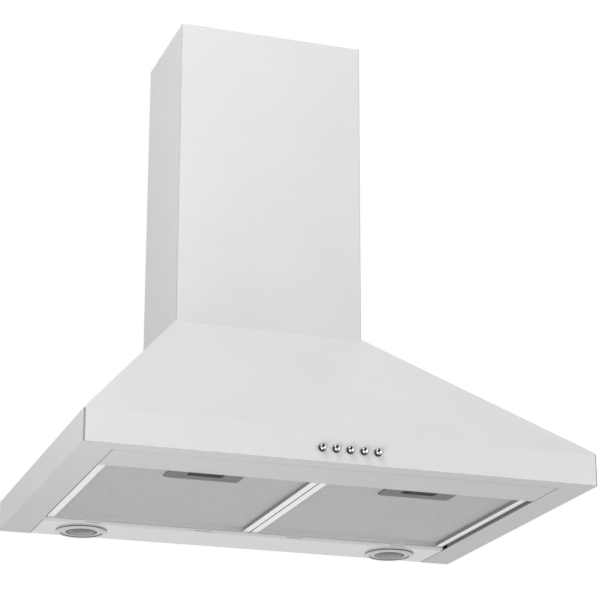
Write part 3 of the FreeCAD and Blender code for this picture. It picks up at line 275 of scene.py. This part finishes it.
def layered_mesh(colours):
    """Stack of expanded foils behind the outer one: crossed strands 7 to 8 mm apart, dull and shaded between."""
    colour = colours.layers
    made, tree, shader, place = new_finish("layered_aluminium_mesh", colour, 0.5, 1.0)
    layers = []
    for turn, pitch in ((0.35, 8.4), (-0.42, 6.8)):
        turned = add(tree, "ShaderNodeMapping", {"Vector": place, "Rotation": (0.0, 0.0, turn)})
        bands = []
        for angle in (0.55, -0.55):
            slanted = add(tree, "ShaderNodeMapping", {"Vector": turned.outputs["Vector"],
                                                      "Rotation": (0.0, 0.0, angle)})
            # bands at a scale of 1 repeat every 2 pi / 20
            band = add(tree, "ShaderNodeTexWave", {"Vector": slanted.outputs["Vector"], "Distortion": 0.6,
                                                   "Scale": per_metre(pitch) * 2 * math.pi / 20}, bands_direction="Y")
            bands.append(band.outputs["Fac"])
        strands = add(tree, "ShaderNodeMath", {0: bands[0], 1: bands[1]}, operation="MAXIMUM")
        layers.append(strands.outputs[0])
    height = add(tree, "ShaderNodeMath", {0: layers[0], 1: layers[1]}, operation="MINIMUM").outputs[0]
    lit = add(tree, "ShaderNodeMapRange", {"Value": height, "From Min": 0.35, "From Max": 0.95})
    grey = add(tree, "ShaderNodeMix", {0: lit.outputs["Result"], 6: shade(colour, 0.6), 7: colour}, data_type="RGBA")
    link(tree, grey.outputs[2], shader, "Base Color")
    relief = add(tree, "ShaderNodeBump", {"Height": height, "Distance": 0.3 * MM})
    link(tree, relief.outputs["Normal"], shader, "Normal")
    return made


def moulded_plastic(name, colour, roughness=0.5, grain_mm=0.35, grain_depth=0.015):
    """Injection moulded plastic from a spark-eroded tool: an even fine grain, soft edges and a faint sheen."""
    made, tree, shader, place = new_finish(name, colour, roughness)
    flow = add(tree, "ShaderNodeTexNoise", {"Vector": place, "Scale": per_metre(25.0)}).outputs["Fac"]
    tone = add(tree, "ShaderNodeMix", {0: flow, 6: shade(colour, 0.93), 7: shade(colour, 1.06)}, data_type="RGBA")
    link(tree, tone.outputs[2], shader, "Base Color")
    gloss = add(tree, "ShaderNodeMapRange", {"Value": flow, "From Min": 0.3, "From Max": 0.7,
                                             "To Min": roughness - 0.04, "To Max": roughness + 0.05})
    link(tree, gloss.outputs["Result"], shader, "Roughness")
    grain = add(tree, "ShaderNodeTexNoise", {"Vector": place, "Scale": per_metre(grain_mm), "Roughness": 0.6})
    rounded = add(tree, "ShaderNodeBevel", {"Radius": 0.4 * MM}, samples=6).outputs["Normal"]
    relief = add(tree, "ShaderNodeBump", {"Height": grain.outputs["Fac"], "Distance": grain_depth * MM,
                                          "Normal": rounded})
    link(tree, relief.outputs["Normal"], shader, "Normal")
    return made


def polished_chrome(colours):
    """Chrome on a moulded cap: a mirror that shows the white front of the hood and the dark gap around it."""
    made, tree, shader, place = new_finish("polished_chrome", colours.chrome, 0.08, 1.0)
    haze = add(tree, "ShaderNodeTexNoise", {"Vector": place, "Scale": per_metre(1.5)})
    gloss = add(tree, "ShaderNodeMapRange", {"Value": haze.outputs["Fac"], "From Min": 0.3, "From Max": 0.7,
                                             "To Min": 0.05, "To Max": 0.12})
    link(tree, gloss.outputs["Result"], shader, "Roughness")
    rounded = add(tree, "ShaderNodeBevel", {"Radius": 0.25 * MM}, samples=6)
    link(tree, rounded.outputs["Normal"], shader, "Normal")
    return made


def frosted_glass(colours):
    """Pressed lamp glass with a frosted inner face: it scatters what is behind it and shows a soft gloss."""
    made, tree, shader, place = new_finish("frosted_lamp_glass", colours.glass, 0.35)
    shader.inputs["Transmission Weight"].default_value = 0.75
    shader.inputs["IOR"].default_value = 1.5
    pebble = add(tree, "ShaderNodeTexVoronoi", {"Vector": place, "Scale": per_metre(1.6)}, feature="SMOOTH_F1")
    relief = add(tree, "ShaderNodeBump", {"Height": pebble.outputs["Distance"], "Distance": 0.15 * MM})
    link(tree, relief.outputs["Normal"], shader, "Normal")
    frost = add(tree, "ShaderNodeTexNoise", {"Vector": place, "Scale": per_metre(4.0)})
    gloss = add(tree, "ShaderNodeMapRange", {"Value": frost.outputs["Fac"], "From Min": 0.3, "From Max": 0.7,
                                             "To Min": 0.28, "To Max": 0.42})
    link(tree, gloss.outputs["Result"], shader, "Roughness")
    return made


# Sizes and colours that a user would change

class HoodColours(bpy.types.PropertyGroup):
    enamel: FloatVectorProperty(name="Enamel", description="White powder coat of the sheet metal", size=4,
                                subtype="COLOR", min=0.0, max=1.0, default=linear("#E8EAE8"))
    # painted light: the light bar's coat is the enamel made lighter, standing in for the extra light the bar catches
    bar: FloatVectorProperty(name="Light bar", description="White powder coat of the light bar, a shade lighter",
                             size=4, subtype="COLOR", min=0.0, max=1.0, default=linear("#F9FAF9"))
    zinc: FloatVectorProperty(name="Galvanised sheet", description="Hidden sheet metal", size=4,
                              subtype="COLOR", min=0.0, max=1.0, default=linear("#C3C6C8"))
    plating: FloatVectorProperty(name="Zinc plating", description="Screws, nuts and rivets", size=4,
                                 subtype="COLOR", min=0.0, max=1.0, default=linear("#D2D1CC"))
    steel: FloatVectorProperty(name="Ground steel", description="Shaft, clip and flap pin", size=4,
                               subtype="COLOR", min=0.0, max=1.0, default=linear("#BDBDBE"))
    motor: FloatVectorProperty(name="Motor", description="Painted motor can", size=4,
                               subtype="COLOR", min=0.0, max=1.0, default=linear("#6F7274"))
    spring: FloatVectorProperty(name="Spring steel", description="Latch springs", size=4,
                                subtype="COLOR", min=0.0, max=1.0, default=linear("#8A8C92"))
    rail: FloatVectorProperty(name="Filter rails", description="Folded frame of the grease filters", size=4,
                              subtype="COLOR", min=0.0, max=1.0, default=linear("#F4F4F2"))
    # painted shade: this grey darkens the filter frame's walls that face sideways
    wall: FloatVectorProperty(name="Filter walls", description="Unanodised walls of the filter frame", size=4,
                              subtype="COLOR", min=0.0, max=1.0, default=linear("#A9ABAD"))
    # painted shade, lighter: this tone darkens the filter frame's front and rear walls a little
    ends: FloatVectorProperty(name="Filter end walls", description="Paler walls at the filter's front and rear",
                              size=4, subtype="COLOR", min=0.0, max=1.0, default=linear("#E6E7E8"))
    cloth: FloatVectorProperty(name="Outer mesh", description="Expanded foil on the cooking side", size=4,
                               subtype="COLOR", min=0.0, max=1.0, default=linear("#F0F1F1"))
    layers: FloatVectorProperty(name="Inner mesh", description="Layers of foil behind the outer one", size=4,
                                subtype="COLOR", min=0.0, max=1.0, default=linear("#DADCDD"))
    latch: FloatVectorProperty(name="Latch", description="Grey plate and slider of the filter latch", size=4,
                               subtype="COLOR", min=0.0, max=1.0, default=linear("#747677"))
    slider: FloatVectorProperty(name="Latch slider", description="Dark slider with the finger lug", size=4,
                                subtype="COLOR", min=0.0, max=1.0, default=linear("#4C4E50"))
    housing: FloatVectorProperty(name="Blower housing", description="Scroll, grilles, collar and flaps", size=4,
                                 subtype="COLOR", min=0.0, max=1.0, default=linear("#55575A"))
    impeller: FloatVectorProperty(name="Impeller", description="Moulded blower wheel", size=4,
                                  subtype="COLOR", min=0.0, max=1.0, default=linear("#3A3B3D"))
    black: FloatVectorProperty(name="Black plastic", description="Switch block and cable gland", size=4,
                               subtype="COLOR", min=0.0, max=1.0, default=linear("#242526"))
    box: FloatVectorProperty(name="Terminal box", description="Grey moulded box", size=4,
                             subtype="COLOR", min=0.0, max=1.0, default=linear("#CBCBC7"))
    can: FloatVectorProperty(name="Capacitor", description="Drawn aluminium can", size=4,
                             subtype="COLOR", min=0.0, max=1.0, default=linear("#E0E1E2"))
    chrome: FloatVectorProperty(name="Chrome", description="Push buttons", size=4,
                                subtype="COLOR", min=0.0, max=1.0, default=linear("#C4C6C9"))
    lamp: FloatVectorProperty(name="Lamp ring", description="White moulded ring of each lamp", size=4,
                              subtype="COLOR", min=0.0, max=1.0, default=linear("#ECECE9"))
    # painted shade: a grey for the upright walls of the white lamp ring
    ring_wall_shade: FloatVectorProperty(name="Lamp gasket", description="Grey upright walls of the lamp ring", size=4,
                                subtype="COLOR", min=0.0, max=1.0, default=linear("#77797A"))
    glass: FloatVectorProperty(name="Lamp glass", description="Frosted lens and bulb", size=4,
                               subtype="COLOR", min=0.0, max=1.0, default=linear("#C9CAC8"))


class HoodMeshSizes(bpy.types.PropertyGroup):
    pitch: FloatProperty(name="Diamond length", description="Long way of one opening of the outer mesh",
                         default=6.0 * MM, min=2.0 * MM, unit="LENGTH")
    row: FloatProperty(name="Diamond width", description="Short way of one opening of the outer mesh",
                       default=3.2 * MM, min=1.0 * MM, unit="LENGTH")
    bond: FloatProperty(name="Bond", description="Half length of the knot between two openings",
                        default=0.55 * MM, min=0.1 * MM, unit="LENGTH")
    strand: FloatProperty(name="Strand", description="Half height of the knot between two openings",
                          default=0.42 * MM, min=0.1 * MM, unit="LENGTH")
    foil: FloatProperty(name="Foil", description="Thickness of the stretched foil",
                        default=0.3 * MM, min=0.05 * MM, unit="LENGTH")
    rail: FloatProperty(name="Rail", description="Width of the filter's folded rail on the cooking side",
                        default=9.0 * MM, min=1.0 * MM, unit="LENGTH")
    cap: FloatProperty(name="Button cap", description="Depth of the chrome cap on each button",
                       default=1.3 * MM, min=0.1 * MM, unit="LENGTH")
    twist: FloatProperty(name="Twist", description="How far stretching tilts each strand out of the sheet",
                         default=0.14 * MM, min=0.0, unit="LENGTH")


class HoodStageSettings(bpy.types.PropertyGroup):
    place: FloatVectorProperty(name="Camera place", description="Where the camera stands", subtype="TRANSLATION",
                               unit="LENGTH", default=(-0.795, -2.632, -0.8025))
    yaw: FloatProperty(name="Camera turn", description="Turn of the view to the right of straight ahead",
                       subtype="ANGLE", default=math.radians(18.646))
    pitch: FloatProperty(name="Camera pitch", description="Tilt of the view above the level",
                         subtype="ANGLE", default=math.radians(18.956))
    roll: FloatProperty(name="Camera roll", description="Turn of the picture about the line of sight",
                        subtype="ANGLE", default=math.radians(0.127))
    lens: FloatProperty(name="Lens", description="Focal length on a 36 mm frame, in millimetres", default=130.93)
    floor: FloatProperty(name="Floor", description="Height of the floor under the hood", unit="LENGTH",
                         default=-1.745)
    ambient: FloatProperty(name="Ambient", description="Strength of the even light all round", default=0.38)
    key: FloatProperty(name="Key light", description="Power of the soft box at the upper left, in watts",
                       default=11.0)
    low: FloatProperty(name="Low light", description="Power of the soft box at the lower left, in watts", default=6.0)
    side: FloatProperty(name="Side light", description="Power of the soft box at the right, in watts", default=7.3)


# Pieces made in mesh code

def clipped(shape, bounds):
    """The part of a flat convex shape, of (x, y, z) corners, that lies inside an upright rectangle."""
    x0, x1, y0, y1 = bounds
    for axis, limit, keep in ((0, x0, 1), (0, x1, -1), (1, y0, 1), (1, y1, -1)):
        result = []
        for a, b in zip(shape, shape[1:] + shape[:1]):
            inside_a, inside_b = keep * (a[axis] - limit) >= 0, keep * (b[axis] - limit) >= 0
            if inside_a:
                result.append(a)
            if inside_a != inside_b:
                t = (limit - a[axis]) / (b[axis] - a[axis])
                result.append(tuple(p + t * (q - p) for p, q in zip(a, b)))
        shape = result
        if len(shape) < 3:
            return []
    return shape


def diamond_shapes(bounds, sizes):
    """Strands and knots of expanded foil over a rectangle, as convex shapes; z is the strands' tilt."""
    x0, x1, y0, y1 = bounds
    pitch, row = sizes.pitch, sizes.row
    half_x, half_y = pitch / 2 - sizes.bond, row / 2 - sizes.strand
    first_i, last_i = int(x0 // pitch) - 1, int(x1 // pitch) + 2
    first_j, last_j = int(2 * y0 // row) - 2, int(2 * y1 // row) + 3
    for j in range(first_j, last_j):
        shift = pitch / 2 if j % 2 else 0.0
        for i in range(first_i, last_i):
            cx, cy = i * pitch + shift, j * row / 2
            top, bottom = (cx, cy + half_y, sizes.twist), (cx, cy - half_y, -sizes.twist)
            right, left = (cx + half_x, cy, 0.0), (cx - half_x, cy, 0.0)
            ux, dy = cx + pitch / 2, cy + row / 2
            up_bottom, up_left = (ux, dy - half_y, -sizes.twist), (ux - half_x, dy, 0.0)
            low_top, low_left = (ux, cy - row / 2 + half_y, sizes.twist), (ux - half_x, cy - row / 2, 0.0)
            next_left = (cx + pitch - half_x, cy, 0.0)
            yield [top, right, up_bottom, up_left]
            yield [right, bottom, low_left, low_top]
            yield [right, low_top, next_left, up_bottom]


def foil_sheet(regions, middle, sizes):
    """Closed mesh of the foil over some rectangles: both faces and the slit edges between them."""
    points, index, faces, edges = [], {}, [], {}

    def corner(p):
        key = (round(p[0] * 1e6), round(p[1] * 1e6))
        if key not in index:
            index[key] = len(index)
            points.append(p)
        return index[key]

    for bounds in regions:
        for shape in diamond_shapes(bounds, sizes):
            ids = []
            for p in clipped(shape, bounds):
                k = corner(p)
                if k not in ids:
                    ids.append(k)
            if len(ids) < 3:
                continue
            area = sum(points[a][0] * points[b][1] - points[b][0] * points[a][1]
                       for a, b in zip(ids, ids[1:] + ids[:1]))
            if area < 0:
                ids.reverse()
            faces.append(ids)
            for a, b in zip(ids, ids[1:] + ids[:1]):
                edges[a, b] = edges.get((a, b), 0) + 1
    count, half = len(points), sizes.foil / 2
    upper = [(x, y, middle + z + half) for x, y, z in points]
    lower = [(x, y, middle + z - half) for x, y, z in points]
    solid = [list(f) for f in faces] + [[v + count for v in reversed(f)] for f in faces]
    solid += [[b, a, a + count, b + count] for a, b in edges if (b, a) not in edges]
    return upper + lower, solid


# One operator for each piece or group of like pieces

class HOOD_OT_sheet_metal(bpy.types.Operator):
    """Powder coat on the canopy, front panel, light bar and chimney covers, with painted shade on the folds and in
    the seams
    """
    bl_idname = "hood.sheet_metal"
    bl_label = "Coat the sheet metal"

    def execute(self, context):
        colours = context.scene.hood_colours
        dress(in_slot("white_enamel"), powder_coated_steel("powder_coated_steel_white", colours.enamel))
        # painted light: the bar takes the lighter copy of the enamel, and a glossier coat
        dress(["light_bar"], powder_coated_steel("powder_coat_light_bar_painted_lighter", colours.bar, 0.2))
        # shares of the enamel for the painted shade on the folds and in the seams
        fold_share, recess_share = 0.62, 0.4
        fold_shade_coat = powder_coated_steel("painted_fold_shade", shade(colours.enamel, fold_share))
        repaint(in_slot("white_enamel"), fold_shade_coat, self.bend)
        # painted shade in the seams at both ends of the light bar and front panel, up to where the sheets turn
        # inwards: their end faces take a darker copy of the coat
        recess = powder_coated_steel("painted_seam_shade", shade(colours.enamel, recess_share))
        low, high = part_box("light_bar")
        reach, top = max(-low.x, high.x) + 2 * MM, low.z + 15 * MM
        repaint(["canopy_shell", "front_panel", "light_bar"], recess,
                lambda face: abs(face.normal.x) > 0.5 and abs(face.center.x) < reach and face.center.z < top)
        return {"FINISHED"}

    @staticmethod
    def bend(face):
        """Folds of the chimney's corners and of the rim, which take the painted shade: faces that lean between two
        axes and don't face up.
        """
        x, y, z = (abs(c) for c in face.normal)
        return face.normal.z < 0.2 and sorted((x, y, z))[1] > 0.3


class HOOD_OT_hidden_metal(bpy.types.Operator):
    """Galvanised sheet, plated fixings, ground steel, spring steel and the motor can"""
    bl_idname = "hood.hidden_metal"
    bl_label = "Finish the hidden metal"

    def execute(self, context):
        colours = context.scene.hood_colours
        dress(in_slot("galvanised_sheet"), galvanised_steel(colours))
        dress(in_slot("zinc_fixings"), zinc_plated_steel(colours))
        # a ground bar has its marks round the axis, rolled spring strip has them along it and a slight blue
        dress(in_slot("steel_bar"),
              marked_steel("ground_steel_bar", colours.steel, (12.0, 1.0, 1.0), 1.0, 0.004, 0.26, (0.85, 1.08)))
        dress(in_slot("spring_steel"),
              marked_steel("oiled_spring_steel", colours.spring, (1.0, 14.0, 14.0), 6.0, 0.003, 0.32, (0.8, 1.15)))
        dress(["motor"], stove_painted_steel(colours))
        return {"FINISHED"}


class HOOD_OT_filters(bpy.types.Operator):
    """Rails and layered mesh of the grease filters, with the outer expanded foil as a piece of its own"""
    bl_idname = "hood.filters"
    bl_label = "Finish the grease filters"

    def execute(self, context):
        colours, sizes = context.scene.hood_colours, context.scene.hood_mesh
        dress(in_slot("filter_frame"), rolled_aluminium("anodised_aluminium_strip", colours.rail))
        # painted shade: the frame's walls take darker copies of the rail's aluminium, dark where they face sideways
        # and lighter where they face front and rear
        for name, colour, axis in (("dark", colours.wall, 0), ("pale", colours.ends, 1)):
            walls = rolled_aluminium("filter_wall_painted_shade_" + name, colour, 0.55)
            repaint(in_slot("filter_frame"), walls, lambda face: abs(face.normal[axis]) > 0.5)
        dress(in_slot("filter_mesh"), layered_mesh(colours))
        foil = stretched_aluminium(colours)
        rail, gap = sizes.rail, 0.3 * MM
        for side in SIDES:
            low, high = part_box("filter_frame_" + side)
            mesh_low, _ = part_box("filter_mesh_" + side)
            tray_low, tray_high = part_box("latch_plate_" + side)
            if not mesh_low.z > low.z:
                raise RuntimeError("the mesh doesn't lie inside its frame")
            x0, x1 = low.x + rail + gap, high.x - rail - gap
            y0, y1 = tray_low.y, high.y - rail - gap
            left, right, rear = tray_low.x - gap, tray_high.x + gap, tray_high.y + gap
            front = low.y + rail + gap
            regions = [(x0, left, front, y1), (right, x1, front, y1), (left, right, rear, y1)]
            # just clear of the layers behind it
            middle = mesh_low.z - sizes.foil / 2 - sizes.twist - 0.05 * MM
            points, faces = foil_sheet(regions, middle, sizes)
            mesh = bpy.data.meshes.new("outer_mesh_" + side)
            mesh.from_pydata(points, [], faces)
            mesh.validate()
            mesh.materials.append(foil)
            new_piece("outer_mesh_" + side, mesh, "filter_" + side)
        return {"FINISHED"}


class HOOD_OT_latches(bpy.types.Operator):
    """Grey moulded plates and sliders of the filter latches, and copies of the leaf springs that ride on the filters
    """
    bl_idname = "hood.latches"
    bl_label = "Finish the latches"

    def execute(self, context):
        colours = context.scene.hood_colours
        dress(in_slot("latch_plastic"), moulded_plastic("grey_moulded_latch_plate", colours.latch, 0.45))
        dress(["latch_slider_" + side for side in SIDES],
              moulded_plastic("dark_moulded_latch_slider", colours.slider))
        for side in SIDES:
            node, joint = "latch_spring_" + side, f"latch_{side}_pull"
            mesh = frame["nodes"][node].data.copy()
            spring = new_piece("leaf_spring_" + side, mesh, "filter_" + side)
            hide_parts(node)
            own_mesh(spring)
        return {"FINISHED"}


class HOOD_OT_lamps(bpy.types.Operator):
    """White rings, frosted lenses and bulbs of the two lamps"""
    bl_idname = "hood.lamps"
    bl_label = "Finish the lamps"

    def execute(self, context):
        colours = context.scene.hood_colours
        dress(in_slot("lamp_white"), moulded_plastic("white_moulded_lamp_ring", colours.lamp, 0.3, grain_depth=0.004))
        # painted shade: the upright walls of each lamp ring take a grey in place of the ring's white
        repaint(in_slot("lamp_white"), moulded_plastic("painted_shade_on_lamp_ring_walls", colours.ring_wall_shade, 0.6),
                lambda face: abs(face.normal.z) < 0.3)
        dress(in_slot("lamp_glass"), frosted_glass(colours))
        return {"FINISHED"}


class HOOD_OT_buttons(bpy.types.Operator):
    """Chrome caps of the five push buttons and the black block behind them"""
    bl_idname = "hood.buttons"
    bl_label = "Finish the buttons"

    def execute(self, context):
        colours, sizes = context.scene.hood_colours, context.scene.hood_mesh
        chrome = polished_chrome(colours)
        black = moulded_plastic("black_moulded_plastic", colours.black)
        dress(in_slot("black_plastic"), black)
        dress(in_slot("button_chrome"), chrome)
        buttons = in_slot("button_chrome")
        edge = min(v.co.y for v in frame["nodes"][buttons[0]].data.vertices) + sizes.cap
        repaint(buttons, black, lambda face: face.center.y > edge)
        return {"FINISHED"}


class HOOD_OT_blower(bpy.types.Operator):
    """Moulded scroll, grilles, collar, flaps and wheel of the blower"""
    bl_idname = "hood.blower"
    bl_label = "Finish the blower"

    def execute(self, context):
        colours = context.scene.hood_colours
        dress(in_slot("housing_plastic"), moulded_plastic("grey_moulded_housing", colours.housing, 0.55, 0.8, 0.03))
        dress(in_slot("impeller_plastic"), moulded_plastic("dark_moulded_impeller", colours.impeller, 0.45))
        return {"FINISHED"}


class HOOD_OT_electrics(bpy.types.Operator):
    """Capacitor can and terminal box"""
    bl_idname = "hood.electrics"
    bl_label = "Finish the electrical pieces"

    def execute(self, context):
        colours = context.scene.hood_colours
        dress(in_slot("box_plastic"), moulded_plastic("light_grey_moulded_box", colours.box, 0.5, 1.0, 0.03))
        dress(in_slot("capacitor_can"), rolled_aluminium("drawn_aluminium_can", colours.can))
        return {"FINISHED"}


class HOOD_OT_stage(bpy.types.Operator):
    """Camera, pale floor and soft studio light"""
    bl_idname = "hood.stage"
    bl_label = "Set the photo stage"

    def execute(self, context):
        settings = context.scene.hood_stage
        self.camera(context, settings)
        self.floor(settings)
        self.world(context, settings)
        self.lamps(settings)
        self.flag()
        context.scene.view_settings.view_transform = "Standard"
        return {"FINISHED"}

    def camera(self, context, settings):
        yaw, pitch, roll = settings.yaw, settings.pitch, settings.roll
        ahead = Vector((math.sin(yaw) * math.cos(pitch), math.cos(yaw) * math.cos(pitch), math.sin(pitch)))
        right = Vector((math.cos(yaw), -math.sin(yaw), 0.0))
        up = right.cross(ahead)
        right, up = (math.cos(roll) * right + math.sin(roll) * up, math.cos(roll) * up - math.sin(roll) * right)
        data = bpy.data.cameras.new("photo_camera")
        data.sensor_width = 36.0
        data.lens = settings.lens
        data.clip_end = 100.0
        camera = bpy.data.objects.new("photo_camera", data)
        turn = Matrix((right, up, -ahead)).transposed()
        camera.matrix_world = Matrix.Translation(Vector(settings.place)) @ turn.to_4x4()
        context.scene.collection.objects.link(camera)
        context.scene.camera = camera

    def floor(self, settings):
        """Painted floor, plain and pale, that fades out at its rim and lets a view from below through."""
        reach, count, fade_from, fade_to, lift = 3.5, 64, 2.6, 3.4, 0.45
        made, tree, shader, place = new_finish("pale_painted_floor", linear("#F2F2F0"), 0.6)
        cloud = add(tree, "ShaderNodeTexNoise", {"Vector": place, "Scale": per_metre(400.0)}).outputs["Fac"]
        paint = add(tree, "ShaderNodeMix", {0: cloud, 6: linear("#F0F0EE"), 7: linear("#F4F4F2")}, data_type="RGBA")
        link(tree, paint.outputs[2], shader, "Base Color")
        # the floor looks paler to the camera without any more light on the object
        ray = add(tree, "ShaderNodeLightPath").outputs["Is Camera Ray"]
        pale = add(tree, "ShaderNodeMath", {0: ray, 1: lift}, operation="MULTIPLY")
        link(tree, pale.outputs[0], shader, "Emission Strength")
        clear = add(tree, "ShaderNodeBsdfTransparent")
        away = add(tree, "ShaderNodeVectorMath", {0: place}, operation="LENGTH").outputs["Value"]
        rim = add(tree, "ShaderNodeMapRange", {"Value": away, "From Min": fade_from, "From Max": fade_to})
        below = add(tree, "ShaderNodeNewGeometry").outputs["Backfacing"]
        gone = add(tree, "ShaderNodeMath", {0: rim.outputs["Result"], 1: below}, operation="MAXIMUM").outputs[0]
        both = add(tree, "ShaderNodeMixShader", {0: gone, 1: shader.outputs["BSDF"], 2: clear.outputs["BSDF"]})
        out = next(n for n in tree.nodes if n.type == "OUTPUT_MATERIAL")
        tree.links.new(both.outputs["Shader"], out.inputs["Surface"])
        mesh = bpy.data.meshes.new("floor")
        ring = [(reach * math.cos(2 * math.pi * k / count), reach * math.sin(2 * math.pi * k / count), 0.0)
                for k in range(count)]
        mesh.from_pydata(ring, [], [list(range(count))])
        mesh.materials.append(made)
        floor = bpy.data.objects.new("floor", mesh)
        floor.location.z = settings.floor
        bpy.context.scene.collection.objects.link(floor)

    def world(self, context, settings):
        """Even light all round; the camera, mirrors and glass see a white background instead."""
        world = bpy.data.worlds.new("studio")
        world.use_nodes = True
        tree = world.node_tree
        tree.nodes.clear()
        ray = add(tree, "ShaderNodeLightPath")
        seen = add(tree, "ShaderNodeMath", {0: ray.outputs["Is Camera Ray"], 1: ray.outputs["Is Glossy Ray"]},
                   operation="MAXIMUM")
        seen = add(tree, "ShaderNodeMath", {0: seen.outputs[0], 1: ray.outputs["Is Transmission Ray"]},
                   operation="MAXIMUM")
        light = add(tree, "ShaderNodeBackground", {"Color": linear("#FFFFFF"), "Strength": settings.ambient})
        white = add(tree, "ShaderNodeBackground", {"Color": linear("#FFFFFF"), "Strength": 1.0})
        both = add(tree, "ShaderNodeMixShader", {0: seen.outputs[0], 1: light.outputs[0], 2: white.outputs[0]})
        out = add(tree, "ShaderNodeOutputWorld")
        tree.links.new(both.outputs[0], out.inputs["Surface"])
        context.scene.world = world

    def lamps(self, settings):
        """Soft boxes: name, place, what it points at, width and power."""
        self.lamp("key_light", (-0.7, -1.0, 1.1), (0.0, -0.2, 0.3), 0.8, settings.key)
        self.lamp("low_light", (-0.8, -1.2, -0.9), (0.0, -0.3, -0.15), 0.6, settings.low)
        self.lamp("side_light", (1.2, -1.8, 0.0), (0.1, -0.3, -0.05), 0.8, settings.side)

    def flag(self):
        """Black cloth in front of the hood, seen only in mirrors: the dark streak in the chrome."""
        turn, distance, half, foot_height, head_height, head_share = -0.05, 2.2, 1.1, 0.1, 3.2, 0.3
        made, tree, shader, place = new_finish("black_flag_cloth", linear("#0C0C0C"), 0.9)
        weave = add(tree, "ShaderNodeTexNoise", {"Vector": place, "Scale": per_metre(2.0)})
        relief = add(tree, "ShaderNodeBump", {"Height": weave.outputs["Fac"], "Distance": 0.2 * MM})
        link(tree, relief.outputs["Normal"], shader, "Normal")
        middle = Vector((math.sin(turn), -math.cos(turn), 0.0)) * distance
        across = Vector((math.cos(turn), math.sin(turn), 0.0)) * half
        foot, head = middle + Vector((0.0, 0.0, foot_height)), middle * head_share + Vector((0.0, 0.0, head_height))
        mesh = bpy.data.meshes.new("flag")
        mesh.from_pydata([foot - across, foot + across, head + across, head - across], [], [[0, 1, 2, 3]])
        mesh.materials.append(made)
        flag = bpy.data.objects.new("flag", mesh)
        for ray in ("camera", "diffuse", "transmission", "volume_scatter", "shadow"):
            setattr(flag, "visible_" + ray, False)
        bpy.context.scene.collection.objects.link(flag)

    def lamp(self, name, place, target, size, watts):
        data = bpy.data.lights.new(name, "AREA")
        data.shape = "SQUARE"
        data.size = size
        data.energy = watts
        lamp = bpy.data.objects.new(name, data)
        lamp.location = place
        lamp.visible_camera = False
        lamp.rotation_euler = (Vector(target) - Vector(place)).to_track_quat("-Z", "Y").to_euler()
        bpy.context.scene.collection.objects.link(lamp)


class HOOD_PT_panel(bpy.types.Panel):
    """Sizes, colours and pieces of the hood"""
    bl_idname = "HOOD_PT_panel"
    bl_label = "Chimney Hood"
    bl_space_type = "VIEW_3D"
    bl_region_type = "UI"
    bl_category = "Hood"

    def draw(self, context):
        for settings in (context.scene.hood_colours, context.scene.hood_mesh, context.scene.hood_stage):
            box = self.layout.box()
            for name in settings.bl_rna.properties.keys():
                if name not in ("rna_type", "name"):
                    box.prop(settings, name)
        for operator in OPERATORS:
            self.layout.operator(operator.bl_idname)


OPERATORS = (HOOD_OT_sheet_metal, HOOD_OT_hidden_metal, HOOD_OT_filters, HOOD_OT_latches, HOOD_OT_lamps,
             HOOD_OT_buttons, HOOD_OT_blower, HOOD_OT_electrics, HOOD_OT_stage)
GROUPS = {"hood_colours": HoodColours, "hood_mesh": HoodMeshSizes, "hood_stage": HoodStageSettings}


def register():
    for name, group in GROUPS.items():
        bpy.utils.register_class(group)
        setattr(bpy.types.Scene, name, PointerProperty(type=group))
    for cls in OPERATORS + (HOOD_PT_panel,):
        bpy.utils.register_class(cls)


def unregister():
    for cls in (HOOD_PT_panel,) + OPERATORS[::-1]:
        bpy.utils.unregister_class(cls)
    for name, group in GROUPS.items():
        delattr(bpy.types.Scene, name)
        bpy.utils.unregister_class(group)


def main():
    register()
    bpy.ops.hood.sheet_metal()
    bpy.ops.hood.hidden_metal()
    bpy.ops.hood.filters()
    bpy.ops.hood.latches()
    bpy.ops.hood.lamps()
    bpy.ops.hood.buttons()
    bpy.ops.hood.blower()
    bpy.ops.hood.electrics()
    bpy.ops.hood.stage()


if __name__ == "__main__":
    main()
